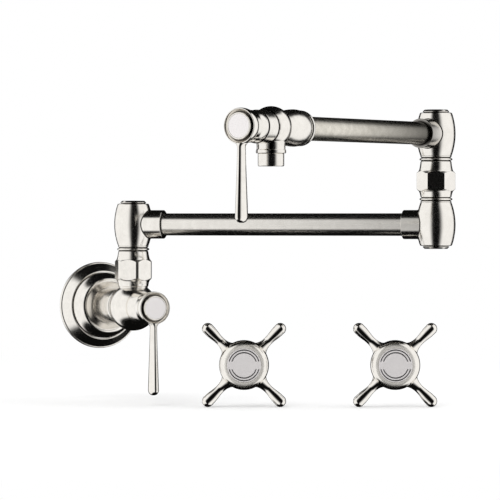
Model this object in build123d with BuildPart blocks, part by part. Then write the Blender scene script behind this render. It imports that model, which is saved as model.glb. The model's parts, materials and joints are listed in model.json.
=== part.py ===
from build123d import *
from math import cos, radians, sin
import os

# Wall mounted pot filler: a jointed two-arm spout with a valve at each end.
# Millimetres. The origin is the centre of the wall inlet on the wall face,
# +X is right, +Y goes into the wall and +Z is up.

# ---- Places ----
column_reach = 72.0  # wall face to the base swivel axis
arm_length = 254.0  # swivel axis to swivel axis, and elbow axis to outlet axis
lower_arm_height = 67.3  # centre of the lower tube above the inlet
upper_arm_height = 139.4  # centre of the upper tube above the inlet
lower_arm_angle = -41.8  # compass of the lower arm from +X, as stored
upper_arm_angle = 213.65  # compass of the upper arm from +X, as stored

# ---- Tubes, collars and swivel barrels ----
tube_radius = 9.0
tube_wall = 1.2
tube_start = 12.5  # tube end to the swivel axis it points at
collar_radius = 11.6
collar_reach = 26.3  # swivel axis to the collar's open end
barrel_radius = 15.55
barrel_neck_radius = 12.35
barrel_below = 17.6  # barrel centre to its neck
barrel_above = 16.9  # barrel centre to its shoulder
shoulder_fillet = 1.2
bore_radius = 9.0
clip_shelf = 11.5  # barrel centre to the shelf below the clip
clip_bore_radius = 9.9
cap_radius = 10.2
cap_height = 2.3
cap_plug = 3.1
ring_height = 4.2
bead_radius = 13.1

# ---- Swivel fittings ----
swivel_clearance = 0.05  # radial clearance between post and barrel bore
face_clearance = 0.2  # axial clearance under a turning ring
hex_flats = 27.8
hex_end_radius = 13.3  # where the 45 degree chamfer meets the hex's end
hex_corner_flat = 15.45  # axis to the narrow flat on each corner
base_hex_low = 22.1
base_hex_high = 38.3
elbow_hex_start = 0.179  # share of the space between the elbow's bead rings that is below the hex
elbow_hex_share = 0.54  # share of that space that the hex takes
base_hex_turn = 19.5
elbow_hex_turn = 32.2
bell_radius = 13.1
bell_neck_radius = 12.4
waterway_radius = 4.6
waist_radius = 6.6
waist_half = 7.6
side_port_radius = 3.4
seal_offset = 9.8  # barrel centre to each O-ring
seal_radius = 0.95
seal_groove = 2.2
clip_thickness = 1.0
clip_wall = 1.7
post_top = 13.3
tail_radius = 8.5
base_tail_low = 12.8

# ---- Flange at the wall ----
flange_radius = 35.8
flange_edge = 2.2
flange_lip_radius = 34.7
flange_lip_height = 3.0
flange_wall = 1.6
dome_foot_radius = 27.6
dome_foot_height = 8.9
dome_crest_radius = 20.3
dome_height = 20.2
dome_dish = 1.2
gasket_width = 3.2
gasket_height = 1.8
plate_radius = 25.0
plate_thickness = 3.0
plate_hole_circle = 20.5
plate_hole_radius = 2.25
plate_hole_count = 4
nut_flats = 30.0
nut_height = 6.0

# ---- Inlet valve ----
sleeve_radius = 14.5
shank_radius = 12.5
wall_thread_radius = 9.3
wall_thread_depth = 16.0
supply_radius = 7.0
inlet_ball_radius = 19.4
neck_ring_back = 51.4
neck_ring_front = 59.5
riser_radius = 12.3
riser_top_radius = 13.4

# ---- Valve cartridge, bonnet and outlet valve ----
cartridge_radius = 8.8
cartridge_back = 5.4  # valve centre to the back of the cartridge
cartridge_seal_height = 0.8
fit_gap = 0.1  # radial gap between fixed pieces that slide together
inlet_seat = 17.0  # valve centre to the bonnet's seat
inlet_boss_radius = 13.1
inlet_bonnet_radius = 12.0
outlet_seat = 21.5
outlet_boss_radius = 11.9
outlet_boss_step = 0.4  # the boss stands this much proud of the bonnet
outlet_boss_groove = 9.2  # outlet axis to the groove at the boss's foot
outlet_bonnet_radius = 11.2
bonnet_front = 31.2
bonnet_tail = 4.5
stem_radius = 4.0
stem_back = 3.0
outlet_ball_radius = 15.45
nozzle_radius = 10.6
nozzle_lip_radius = 11.1
nozzle_length = 19.2
aerator_radius = 9.7
aerator_length = 9.6
aerator_bore = 8.3
aerator_tail = 6.5
thread_radius = 8.7
jet_radius = 0.6
jet_pitch = 2.3

# ---- Coupling between the upper tube and the outlet valve ----
coupling_back = 43.4  # outlet axis to the coupling's open end
coupling_lip = 4.2
coupling_lip_radius = 13.3
coupling_belly = 32.5
coupling_belly_radius = 13.95
coupling_waist = 21.0
coupling_waist_radius = 13.1
coupling_end_radius = 12.6
coupling_front = 9.6
coupling_front_radius = 12.2
coupling_seat = 30.0  # outlet axis to the end of the tube
coupling_thread_radius = 8.9

# ---- Lever handles ----
hub_back = 31.7  # valve centre to the back of the hub
hub_back_radius = 11.2
hub_radius = 13.25
hub_rim_back = 39.8
hub_front = 45.0
hub_recess_radius = 12.0
hub_recess_depth = 1.4
hub_groove_depth = 1.6  # the narrow groove round the button
hub_socket_end = 39.6
button_radius = 10.2
button_proud = 0.7
screw_radius = 2.0
screw_head_radius = 3.4
screw_head_height = 1.6
lever_offset = 41.4  # valve centre to the lever's own axis
lever_length = 70.3  # valve axis to the lever's tip
lever_stud_radius = 1.75
lever_stud = 5.5  # valve axis to the end of the stud
lever_root_radius = 2.45
lever_shoulder = 12.5
lever_oval = 1.72  # depth of the lever's oval section as a share of its width
lever_widths = ((13.45, 2.55), (16.0, 2.52), (30.0, 2.8), (44.0, 3.18), (56.0, 3.6), (65.8, 3.8))
lever_tip_steps = (0, 25, 45, 62, 76)  # degrees round the tip's quarter oval

# ---- Spare cross handles ----
cross_places = ((58.2, -161.3), (167.9, -212.1))
cross_height = -45.0
cross_facing = 24.8  # degrees that the handles turn away from straight out of the wall
cross_hub_radius = 19.9
cross_face_radius = 13.6
cross_crown = 6.0  # radius of the rounding from the rim up to the face
cross_face_height = 9.0
cross_back_radius = 10.5
cross_back_depth = 10.0
cross_disc_thickness = 1.6
cross_disc_proud = 0.5
cross_arm_reach = 45.6
cross_arm_tip_radius = 4.7
cross_arm_neck_radius = 3.5
cross_arm_neck = 27.0
cross_socket_radius = 6.0
spline_radius = 4.1
spline_depth = 14.0
engraving_radii = (12.4, 10.3)
engraving_width = 0.5
engraving_depth = 0.3
engraving_gap = 6.0

# ---- Worked out places ----
up = Vector(0, 0, 1)
out_of_wall = Vector(0, -1, 0)
lower_arm = Vector(cos(radians(lower_arm_angle)), sin(radians(lower_arm_angle)), 0)
upper_arm = Vector(cos(radians(upper_arm_angle)), sin(radians(upper_arm_angle)), 0)
base_axis = Vector(0, -column_reach, 0)
elbow_axis = base_axis + lower_arm * arm_length
outlet_axis = elbow_axis + upper_arm * arm_length
inner_centre = base_axis + up * lower_arm_height
elbow_centre = elbow_axis + up * lower_arm_height
upper_centre = elbow_axis + up * upper_arm_height
outlet_centre = outlet_axis + up * upper_arm_height
post_radius = bore_radius - swivel_clearance
ring_end = barrel_below + ring_height
elbow_space = upper_arm_height - lower_arm_height - 2 * ring_end
elbow_hex_low = lower_arm_height + ring_end + elbow_hex_start * elbow_space
elbow_hex_high = elbow_hex_low + elbow_hex_share * elbow_space
bulge = barrel_radius - barrel_neck_radius
bulge_curve = (barrel_below**2 + bulge**2) / (2 * bulge)
shoulder_rise = barrel_above - shoulder_fillet
shoulder_radius = barrel_radius - bulge_curve + (bulge_curve**2 - shoulder_rise**2) ** 0.5
cartridge_bore = cartridge_radius + fit_gap
tube_bore = tube_radius - tube_wall
seal_back = -cartridge_back - cartridge_seal_height
coupling_thread_end = seal_back - 0.7
thread_top = nozzle_length - aerator_tail

os.makedirs("parts", exist_ok=True)


def axial_plane(origin, axis, radial):
    """A drawing plane whose upright line runs along a piece's own axis."""
    return Plane(origin=origin, x_dir=radial, z_dir=radial.cross(axis))


def turn_band(plane, inner, outer, low, high, mode=Mode.ADD):
    """Turn a rectangle about the plane's upright line, into a disc, ring or bore."""
    with BuildSketch(plane) as band:
        with Locations(((inner + outer) / 2, (low + high) / 2)):
            Rectangle(outer - inner, high - low)
    revolve(band.sketch, axis=Axis(plane.origin, plane.y_dir), mode=mode)


def drill(start, direction, radius, near, far):
    """Bore a round hole along a direction, between two distances from a start point."""
    with BuildSketch(Plane(origin=start + direction * near, z_dir=direction)) as mouth:
        Circle(radius)
    extrude(mouth.sketch, amount=far - near, mode=Mode.SUBTRACT)


def save(part, name):
    """Label a finished piece and write it under its own name."""
    part.label = name
    export_step(part, f"parts/{name}.step")


# ---------------------------------------------------------------- swivel barrels


def barrel_outline(plane):
    """The barrel's turned body, bulging between its neck and its rounded shoulder."""
    with BuildSketch(plane) as outline:
        with BuildLine():
            ThreePointArc(
                (barrel_neck_radius, -barrel_below),
                (barrel_radius, 0),
                (shoulder_radius, barrel_above - shoulder_fillet),
            )
            ThreePointArc(
                (shoulder_radius, barrel_above - shoulder_fillet),
                (shoulder_radius - 0.4 * shoulder_fillet, barrel_above - 0.25 * shoulder_fillet),
                (shoulder_radius - shoulder_fillet, barrel_above),
            )
            Line((shoulder_radius - shoulder_fillet, barrel_above), (0, barrel_above))
            Line((0, barrel_above), (0, -barrel_below))
            Line((0, -barrel_below), (barrel_neck_radius, -barrel_below))
        make_face()
    return outline.sketch


def swivel_barrel(name, centre, way, arm):
    """A barrel with its bore, the clip's shelf and a side port for the arm's tube."""
    plane = axial_plane(centre, way, arm)
    with BuildPart() as barrel:
        revolve(barrel_outline(plane), axis=Axis(centre, way))
        turn_band(plane, 0, bore_radius, -barrel_below, clip_shelf, Mode.SUBTRACT)
        turn_band(plane, 0, clip_bore_radius, clip_shelf, barrel_above, Mode.SUBTRACT)
        drill(centre, arm, tube_bore, 0, tube_start)
        drill(centre, arm, tube_radius, tube_start, barrel_radius + 1)
    save(barrel.part, name)


def barrel_cap(name, centre, way):
    """The shallow button cap that plugs the end of a barrel."""
    plane = axial_plane(centre, way, Vector(1, 0, 0))
    cap_end = barrel_above + cap_height
    with BuildPart() as cap:
        turn_band(plane, 0, cap_radius, barrel_above, cap_end)
        rim = cap.edges().filter_by(GeomType.CIRCLE).sort_by(Axis(centre, way))[-1]
        chamfer(rim, cap_height * 0.62)
        turn_band(plane, 0, clip_bore_radius, barrel_above - cap_plug, barrel_above)
    save(cap.part, name)


def swivel_ring(name, centre, way):
    """The beaded ring between a barrel's neck and the fitting that it turns on."""
    plane = axial_plane(centre, way, Vector(1, 0, 0))
    bead = -barrel_below - ring_height * 0.62
    bead_half = 1.0
    with BuildPart() as ring:
        turn_band(plane, bore_radius, barrel_neck_radius, -ring_end, -barrel_below)
        with BuildSketch(plane):
            with BuildLine():
                Line((barrel_neck_radius - 1, bead - bead_half), (barrel_neck_radius, bead - bead_half))
                ThreePointArc(
                    (barrel_neck_radius, bead - bead_half),
                    (bead_radius, bead),
                    (barrel_neck_radius, bead + bead_half),
                )
                Line((barrel_neck_radius, bead + bead_half), (barrel_neck_radius - 1, bead + bead_half))
                Line((barrel_neck_radius - 1, bead + bead_half), (barrel_neck_radius - 1, bead - bead_half))
            make_face()
        revolve(axis=Axis(centre, way))
    save(ring.part, name)


def arm_collar(name, centre, arm):
    """The sleeve that carries a tube out of the side of a barrel."""
    plane = axial_plane(centre, up, arm)
    with BuildPart() as collar:
        with BuildSketch(Plane(origin=centre, z_dir=arm)):
            Circle(collar_radius)
            Circle(tube_radius, mode=Mode.SUBTRACT)
        extrude(amount=collar_reach)
        mouth = collar.edges().filter_by(GeomType.CIRCLE).group_by(Axis(centre, arm))[-1]
        fillet(mouth.sort_by(SortBy.LENGTH)[-1], 0.8)
        revolve(barrel_outline(plane), axis=Axis(centre, up), mode=Mode.SUBTRACT)
    save(collar.part, name)


def arm_tube(name, start, arm, near, far):
    """A straight thin-walled tube between two distances from a start point."""
    with BuildPart() as tube:
        with BuildSketch(Plane(origin=start + arm * near, z_dir=arm)):
            Circle(tube_radius)
            Circle(tube_bore, mode=Mode.SUBTRACT)
        extrude(amount=far - near)
    save(tube.part, name)


# ------------------------------------------------------------- swivel fittings


def swivel_fitting(name, axis_point, hex_low, hex_high, hex_turn, turning_height, tail_low, skirt_low):
    """Hex, bell and hollow post. The barrel above it turns on the post."""
    plane = axial_plane(axis_point, up, Vector(1, 0, 0))
    line = Axis(axis_point, up)
    bell_top = turning_height - ring_end - face_clearance
    corner_radius = hex_flats / 2 / cos(radians(30))
    chamfer_height = corner_radius - hex_end_radius
    with BuildPart() as fitting:
        with BuildSketch(Plane(origin=axis_point + up * hex_low)):
            RegularPolygon(corner_radius, 6, rotation=hex_turn)
            RegularPolygon(
                hex_corner_flat / cos(radians(30)),
                6,
                rotation=hex_turn + 30,
                mode=Mode.INTERSECT,
            )
        extrude(amount=hex_high - hex_low)
        with BuildSketch(plane):
            with BuildLine():
                Polyline(
                    (0, hex_low),
                    (hex_end_radius, hex_low),
                    (corner_radius, hex_low + chamfer_height),
                    (corner_radius, hex_high - chamfer_height),
                    (hex_end_radius, hex_high),
                    (0, hex_high),
                    close=True,
                )
            make_face()
        revolve(axis=line, mode=Mode.INTERSECT)
        with BuildSketch(plane):
            with BuildLine():
                TangentArc((bell_neck_radius, bell_top), (bell_radius, hex_high - 0.3), tangent=(0, -1))
                Line((bell_radius, hex_high - 0.3), (0, hex_high - 0.3))
                Line((0, hex_high - 0.3), (0, bell_top))
                Line((0, bell_top), (bell_neck_radius, bell_top))
            make_face()
        revolve(axis=line)
        if skirt_low < hex_low:
            with BuildSketch(plane):
                with BuildLine():
                    TangentArc(
                        (barrel_neck_radius, skirt_low),
                        (bell_radius, hex_low + 0.3),
                        tangent=(0, 1),
                    )
                    Line((bell_radius, hex_low + 0.3), (0, hex_low + 0.3))
                    Line((0, hex_low + 0.3), (0, skirt_low))
                    Line((0, skirt_low), (barrel_neck_radius, skirt_low))
                make_face()
            revolve(axis=line)
        turn_band(plane, 0, tail_radius, tail_low, hex_low + 1)
        turn_band(plane, 0, post_radius, bell_top - 1, turning_height + post_top)
        turn_band(
            plane,
            waist_radius,
            post_radius + 1,
            turning_height - waist_half,
            turning_height + waist_half,
            Mode.SUBTRACT,
        )
        for side in (-1, 1):
            seal_height = turning_height + side * seal_offset
            turn_band(
                plane,
                post_radius - 2 * seal_radius,
                post_radius + 1,
                seal_height - seal_groove / 2,
                seal_height + seal_groove / 2,
                Mode.SUBTRACT,
            )
        clip_low = turning_height + clip_shelf + face_clearance
        turn_band(
            plane,
            clip_bore_radius - face_clearance - clip_wall,
            post_radius + 1,
            clip_low,
            clip_low + clip_thickness,
            Mode.SUBTRACT,
        )
        turn_band(plane, 0, waterway_radius, tail_low, turning_height + waist_half - 1, Mode.SUBTRACT)
        for way in (lower_arm, upper_arm):
            drill(axis_point + up * turning_height, way, side_port_radius, -post_radius, post_radius)
    save(fitting.part, name)


def swivel_seals(name, axis_point, turning_height):
    """The two O-rings in a post's grooves."""
    with BuildPart() as seals:
        for side in (-1, 1):
            seal_centre = axis_point + up * (turning_height + side * seal_offset)
            plane = axial_plane(seal_centre, up, Vector(1, 0, 0))
            with BuildSketch(plane) as section:
                with Locations((post_radius - seal_radius, 0)):
                    Circle(seal_radius)
            revolve(section.sketch, axis=Axis(seal_centre, up))
    save(seals.part, name)


def retaining_clip(name, axis_point, turning_height):
    """The split ring in the post's top groove that keeps the barrel down."""
    centre = axis_point + up * (turning_height + clip_shelf + face_clearance)
    plane = axial_plane(centre, up, Vector(1, 0, 0))
    outer = clip_bore_radius - face_clearance
    with BuildPart() as clip:
        turn_band(plane, outer - clip_wall, outer, 0, clip_thickness)
        with BuildSketch(Plane(origin=centre)):
            with Locations((outer, 0)):
                Rectangle(2 * outer - 10, 2.4)
        extrude(amount=clip_thickness, mode=Mode.SUBTRACT)
    save(clip.part, name)


# ---------------------------------------------------------------- wall flange

wall_plane = axial_plane(Vector(0, 0, 0), out_of_wall, Vector(1, 0, 0))
wall_axis = Axis((0, 0, 0), (0, -1, 0))

# The outer step: a stamped ring that slopes in from its rim
inner_rim_radius = flange_radius - flange_wall
with BuildPart() as flange_base:
    with BuildSketch(wall_plane):
        with BuildLine():
            Line((flange_radius, 0), (flange_radius, flange_edge))
            TangentArc(
                (flange_radius, flange_edge),
                (flange_lip_radius, flange_lip_height),
                tangent=(0, 1),
            )
            ThreePointArc(
                (flange_lip_radius, flange_lip_height),
                (
                    (flange_lip_radius + dome_foot_radius) / 2 + 0.15,
                    (flange_lip_height + dome_foot_height) / 2 + 0.2,
                ),
                (dome_foot_radius, dome_foot_height),
            )
            Line((dome_foot_radius, dome_foot_height), (dome_foot_radius, dome_foot_height - flange_wall))
            Line((dome_foot_radius, dome_foot_height - flange_wall), (inner_rim_radius, flange_edge))
            Line((inner_rim_radius, flange_edge), (inner_rim_radius, 0))
            Line((inner_rim_radius, 0), (flange_radius, 0))
        make_face()
    revolve(axis=wall_axis)
save(flange_base.part, "flange_base")

# The inner step: a dome with a dished face that the neck comes out of
dome_radius = dome_foot_radius - 0.3
dome_inner_radius = dome_radius - flange_wall
dome_bore = sleeve_radius + fit_gap
foot_top = dome_foot_height - flange_wall - 1.5
dish_height = dome_height - dome_dish
with BuildPart() as flange_dome:
    with BuildSketch(wall_plane):
        with BuildLine():
            Line((dome_radius, foot_top), (dome_radius, dome_foot_height + 0.6))
            TangentArc(
                (dome_radius, dome_foot_height + 0.6),
                (dome_crest_radius + 1.2, dome_height - 0.3),
                tangent=(0, 1),
            )
            ThreePointArc(
                (dome_crest_radius + 1.2, dome_height - 0.3),
                (dome_crest_radius + 0.2, dome_height),
                (dome_crest_radius - 0.8, dome_height - 0.3),
            )
            Line((dome_crest_radius - 0.8, dome_height - 0.3), (dome_bore, dish_height))
            Line((dome_bore, dish_height), (dome_bore, dish_height - 2 * flange_wall))
            Line((dome_bore, dish_height - 2 * flange_wall), (dome_crest_radius - 1, dome_height - 2.4))
            TangentArc(
                (dome_inner_radius, dome_foot_height + 0.6),
                (dome_crest_radius - 1, dome_height - 2.4),
                tangent=(0, 1),
            )
            Line((dome_inner_radius, dome_foot_height + 0.6), (dome_inner_radius, foot_top - 1.3))
            Line((dome_inner_radius, foot_top - 1.3), (dome_radius + 1.4, foot_top - 1.3))
            Line((dome_radius + 1.4, foot_top - 1.3), (dome_radius + 1.4, foot_top))
            Line((dome_radius + 1.4, foot_top), (dome_radius, foot_top))
        make_face()
    revolve(axis=wall_axis)
save(flange_dome.part, "flange_dome")

with BuildPart() as wall_gasket:
    turn_band(
        wall_plane,
        inner_rim_radius - gasket_width,
        inner_rim_radius - fit_gap,
        0,
        gasket_height,
    )
save(wall_gasket.part, "wall_gasket")

with BuildPart() as mounting_plate:
    with BuildSketch(Plane.XZ):
        Circle(plate_radius)
        Circle(shank_radius + fit_gap, mode=Mode.SUBTRACT)
        with PolarLocations(plate_hole_circle, plate_hole_count, start_angle=45):
            Circle(plate_hole_radius, mode=Mode.SUBTRACT)
    extrude(amount=plate_thickness)
save(mounting_plate.part, "mounting_plate")

with BuildPart() as shank_nut:
    with BuildSketch(Plane.XZ.offset(plate_thickness)):
        RegularPolygon(nut_flats / 2 / cos(radians(30)), 6)
        Circle(shank_radius, mode=Mode.SUBTRACT)
    extrude(amount=nut_height)
save(shank_nut.part, "shank_nut")

sleeve_back = plate_thickness + nut_height
with BuildPart() as neck_sleeve:
    turn_band(wall_plane, shank_radius + fit_gap, sleeve_radius, sleeve_back, neck_ring_back)
save(neck_sleeve.part, "neck_sleeve")

# The neck ring: two beads with a groove between them
ring_length = neck_ring_front - neck_ring_back
bead_places = (neck_ring_back + ring_length * 0.22, neck_ring_back + ring_length * 0.74)
with BuildPart() as neck_ring:
    turn_band(wall_plane, shank_radius + fit_gap, sleeve_radius, neck_ring_back, neck_ring_front)
    for bead_place in bead_places:
        with BuildSketch(wall_plane) as bead_section:
            with Locations((sleeve_radius - 0.6, bead_place)):
                Ellipse(1.4, 1.3)
        revolve(bead_section.sketch, axis=wall_axis)
save(neck_ring.part, "neck_ring")


# ---------------------------------------------------------------- inlet valve

valve_centre = Vector(0, -column_reach, 0)
valve_plane = axial_plane(valve_centre, out_of_wall, Vector(1, 0, 0))
riser_plane = axial_plane(valve_centre, up, Vector(1, 0, 0))
ring_face = column_reach - neck_ring_front  # ball centre to the neck ring
riser_foot = (inlet_ball_radius**2 - riser_radius**2) ** 0.5 - 1.5
with BuildPart() as inlet_body:
    with Locations(valve_centre):
        Sphere(inlet_ball_radius)
    ball_reach = inlet_ball_radius + 1
    turn_band(valve_plane, 0, ball_reach, -ball_reach, -ring_face, Mode.SUBTRACT)
    turn_band(valve_plane, 0, ball_reach, inlet_seat, ball_reach, Mode.SUBTRACT)
    turn_band(valve_plane, 0, shank_radius, -column_reach, -ring_face + 1)
    turn_band(valve_plane, 0, inlet_boss_radius, 0, inlet_seat)
    with BuildSketch(riser_plane):
        with BuildLine():
            Line((0, 0), (riser_radius, 0))
            Line((riser_radius, 0), (riser_radius, riser_foot))
            TangentArc((riser_radius, riser_foot), (riser_top_radius, base_hex_low), tangent=(0, 1))
            Line((riser_top_radius, base_hex_low), (0, base_hex_low))
            Line((0, base_hex_low), (0, 0))
        make_face()
    revolve(axis=Axis(valve_centre, up))
    turn_band(valve_plane, 0, cartridge_bore, seal_back, inlet_seat, Mode.SUBTRACT)
    turn_band(
        valve_plane,
        0,
        inlet_boss_radius - 1.6,
        inlet_seat - bonnet_tail,
        inlet_seat,
        Mode.SUBTRACT,
    )
    turn_band(valve_plane, 0, supply_radius, -column_reach, -cartridge_back, Mode.SUBTRACT)
    thread_end = wall_thread_depth - column_reach
    turn_band(valve_plane, 0, wall_thread_radius, -column_reach, thread_end, Mode.SUBTRACT)
    turn_band(riser_plane, 0, tail_radius + fit_gap, base_tail_low, base_hex_low, Mode.SUBTRACT)
    turn_band(riser_plane, 0, waterway_radius, 0, base_hex_low, Mode.SUBTRACT)
save(inlet_body.part, "inlet_body")

swivel_fitting(
    "base_swivel_fitting",
    base_axis,
    base_hex_low,
    base_hex_high,
    base_hex_turn,
    lower_arm_height,
    base_tail_low,
    base_hex_low,
)
swivel_seals("base_swivel_seals", base_axis, lower_arm_height)
retaining_clip("base_retaining_clip", base_axis, lower_arm_height)


# ------------------------------------------------- bonnets, cartridges, levers


def valve_cartridge(name, centre, outward, seat):
    """The ceramic cartridge: inlet hole behind, two side ports, stem bore in front."""
    plane = axial_plane(centre, outward, up)
    with BuildPart() as cartridge:
        turn_band(plane, 0, cartridge_radius, -cartridge_back, seat - fit_gap)
        turn_band(plane, 0, stem_radius + swivel_clearance, stem_back - fit_gap, seat, Mode.SUBTRACT)
        turn_band(plane, 0, waterway_radius, -cartridge_back, stem_back - 3, Mode.SUBTRACT)
        drill(centre - outward * 2, up, 2.2, -cartridge_radius, cartridge_radius)
    save(cartridge.part, f"{name}_cartridge")
    with BuildPart() as seal:
        turn_band(
            plane,
            supply_radius,
            cartridge_radius,
            -cartridge_back - cartridge_seal_height,
            -cartridge_back,
        )
    save(seal.part, f"{name}_cartridge_seal")


def valve_bonnet(name, centre, outward, seat, boss_radius, front_radius):
    """The screwed ring that holds the cartridge in and carries the stem."""
    plane = axial_plane(centre, outward, up)
    with BuildPart() as bonnet:
        with BuildSketch(plane):
            with BuildLine():
                ThreePointArc(
                    (boss_radius, seat),
                    ((boss_radius + front_radius) / 2 + 0.35, (seat + bonnet_front) / 2),
                    (front_radius, bonnet_front - 0.5),
                )
                Line((front_radius, bonnet_front - 0.5), (front_radius - 0.5, bonnet_front))
                Line((front_radius - 0.5, bonnet_front), (0, bonnet_front))
                Line((0, bonnet_front), (0, seat))
                Line((0, seat), (boss_radius, seat))
            make_face()
        revolve(axis=Axis(centre, outward))
        turn_band(plane, cartridge_bore, boss_radius - 1.6 - fit_gap, seat - bonnet_tail + fit_gap, seat)
        turn_band(plane, 0, stem_radius + 2, seat, bonnet_front, Mode.SUBTRACT)
    save(bonnet.part, f"{name}_bonnet")


def lever_handle(name, centre, outward):
    """Hub, rod, button, screw and stem of one quarter-turn lever, hanging straight down."""
    across = up.cross(outward)
    plane = axial_plane(centre, outward, across)
    line = Axis(centre, outward)
    recess_floor = hub_front - hub_recess_depth
    lever_top = centre + outward * lever_offset

    with BuildPart() as hub:
        with BuildSketch(plane):
            with BuildLine():
                Line((0, hub_back), (hub_back_radius, hub_back))
                TangentArc(
                    (hub_back_radius, hub_back),
                    (hub_radius - 0.4, hub_rim_back),
                    tangent=(0, 1),
                )
                ThreePointArc(
                    (hub_radius - 0.4, hub_rim_back),
                    (hub_radius, (hub_rim_back + hub_front) / 2),
                    (hub_radius - 0.15, hub_front - 0.5),
                )
                ThreePointArc(
                    (hub_radius - 0.15, hub_front - 0.5),
                    ((hub_radius + hub_recess_radius) / 2, hub_front),
                    (hub_recess_radius, hub_front - 0.5),
                )
                Line((hub_recess_radius, hub_front - 0.5), (hub_recess_radius, recess_floor))
                Line((hub_recess_radius, recess_floor), (0, recess_floor))
                Line((0, recess_floor), (0, hub_back))
            make_face()
        revolve(axis=line)
        turn_band(
            plane,
            button_radius,
            hub_recess_radius,
            hub_front - hub_groove_depth,
            recess_floor,
            Mode.SUBTRACT,
        )
        turn_band(plane, 0, stem_radius + 0.02, hub_back, hub_socket_end, Mode.SUBTRACT)
        turn_band(plane, 0, screw_radius + fit_gap, hub_socket_end, recess_floor, Mode.SUBTRACT)
        turn_band(
            plane,
            0,
            screw_head_radius + fit_gap,
            recess_floor - screw_head_height,
            recess_floor,
            Mode.SUBTRACT,
        )
        drill(lever_top, -up, lever_stud_radius, lever_stud, lever_shoulder)
        drill(lever_top, -up, lever_root_radius, lever_shoulder, hub_radius + 1)
    save(hub.part, f"{name}_lever_hub")

    rod_plane = axial_plane(lever_top, -up, outward)
    tip_start, tip_width = lever_widths[-1]
    with BuildPart() as rod:
        turn_band(rod_plane, 0, lever_stud_radius, lever_stud, lever_shoulder)
        turn_band(rod_plane, 0, lever_root_radius, lever_shoulder, lever_widths[0][0])
        for distance, width in lever_widths:
            with BuildSketch(Plane(origin=lever_top - up * distance, x_dir=across, z_dir=-up)):
                Ellipse(width, width * lever_oval)
        loft()
        for step in lever_tip_steps:
            distance = tip_start + (lever_length - tip_start) * sin(radians(step))
            width = tip_width * cos(radians(step))
            with BuildSketch(Plane(origin=lever_top - up * distance, x_dir=across, z_dir=-up)):
                Ellipse(width, width * lever_oval)
        loft()
    save(rod.part, f"{name}_lever_rod")

    button_back = recess_floor
    button_front = hub_front + button_proud
    with BuildPart() as button:
        turn_band(plane, 0, button_radius, button_back, button_front)
        face_rim = button.edges().filter_by(GeomType.CIRCLE).sort_by(line)[-1]
        fillet(face_rim, 0.9)
    save(button.part, f"{name}_lever_button")

    with BuildPart() as screw:
        turn_band(plane, 0, screw_head_radius, recess_floor - screw_head_height, recess_floor - fit_gap)
        turn_band(plane, 0, screw_radius, bonnet_front, recess_floor - screw_head_height)
        with BuildSketch(Plane(origin=centre + outward * (recess_floor - fit_gap), z_dir=outward)) as drive:
            RegularPolygon(1.5, 6)
        extrude(drive.sketch, amount=-1.2, mode=Mode.SUBTRACT)
    save(screw.part, f"{name}_lever_screw")

    with BuildPart() as stem:
        turn_band(plane, 0, stem_radius, stem_back, hub_socket_end - fit_gap)
        turn_band(plane, 0, screw_radius, bonnet_front, hub_socket_end, Mode.SUBTRACT)
    save(stem.part, f"{name}_valve_stem")


valve_cartridge("inlet", valve_centre, out_of_wall, inlet_seat)
valve_bonnet("inlet", valve_centre, out_of_wall, inlet_seat, inlet_boss_radius, inlet_bonnet_radius)
lever_handle("inlet", valve_centre, out_of_wall)


# ------------------------------------------------------------------ lower arm

swivel_barrel("inner_barrel", inner_centre, up, lower_arm)
barrel_cap("inner_barrel_cap", inner_centre, up)
swivel_ring("base_swivel_ring", inner_centre, up)
arm_collar("inner_collar", inner_centre, lower_arm)
arm_tube("lower_tube", inner_centre, lower_arm, tube_start, arm_length - tube_start)
arm_collar("outer_collar", elbow_centre, -lower_arm)
swivel_barrel("elbow_barrel", elbow_centre, -up, -lower_arm)
barrel_cap("elbow_barrel_cap", elbow_centre, -up)
swivel_ring("elbow_bead_ring", elbow_centre, -up)
swivel_fitting(
    "elbow_swivel_fitting",
    elbow_axis,
    elbow_hex_low,
    elbow_hex_high,
    elbow_hex_turn,
    upper_arm_height,
    lower_arm_height + tube_start,
    lower_arm_height + ring_end,
)
swivel_seals("elbow_swivel_seals", elbow_axis, upper_arm_height)
retaining_clip("elbow_retaining_clip", elbow_axis, upper_arm_height)


# ------------------------------------------------------------------ upper arm

swivel_barrel("upper_barrel", upper_centre, up, upper_arm)
barrel_cap("upper_barrel_cap", upper_centre, up)
swivel_ring("elbow_swivel_ring", upper_centre, up)
arm_collar("upper_collar", upper_centre, upper_arm)
arm_tube("upper_tube", upper_centre, upper_arm, tube_start, arm_length - coupling_seat)

outlet_plane = axial_plane(outlet_centre, upper_arm, up)
outlet_line = Axis(outlet_centre, upper_arm)
nozzle_plane = axial_plane(outlet_centre, -up, upper_arm)
nozzle_line = Axis(outlet_centre, -up)

with BuildPart() as outlet_coupling:
    with BuildSketch(outlet_plane):
        with BuildLine():
            Line((coupling_end_radius, -coupling_back), (coupling_end_radius, coupling_lip - coupling_back))
            Spline(
                (coupling_end_radius, coupling_lip - coupling_back),
                (coupling_belly_radius, -coupling_belly),
                (coupling_waist_radius, -coupling_waist),
                (coupling_front_radius, -coupling_front),
            )
            Line((coupling_front_radius, -coupling_front), (0, -coupling_front))
            Line((0, -coupling_front), (0, -coupling_back))
            Line((0, -coupling_back), (coupling_end_radius, -coupling_back))
        make_face()
    revolve(axis=outlet_line)
    turn_band(outlet_plane, 0, tube_radius, -coupling_back, -coupling_seat, Mode.SUBTRACT)
    turn_band(outlet_plane, 0, tube_bore, -coupling_back, -coupling_front, Mode.SUBTRACT)
    turn_band(
        outlet_plane,
        waist_radius - 1,
        coupling_thread_radius - fit_gap,
        -coupling_front - 1,
        coupling_thread_end - 0.2,
    )
    turn_band(outlet_plane, 0, waist_radius - 1, -coupling_back, 0, Mode.SUBTRACT)
save(outlet_coupling.part, "outlet_coupling")

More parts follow.
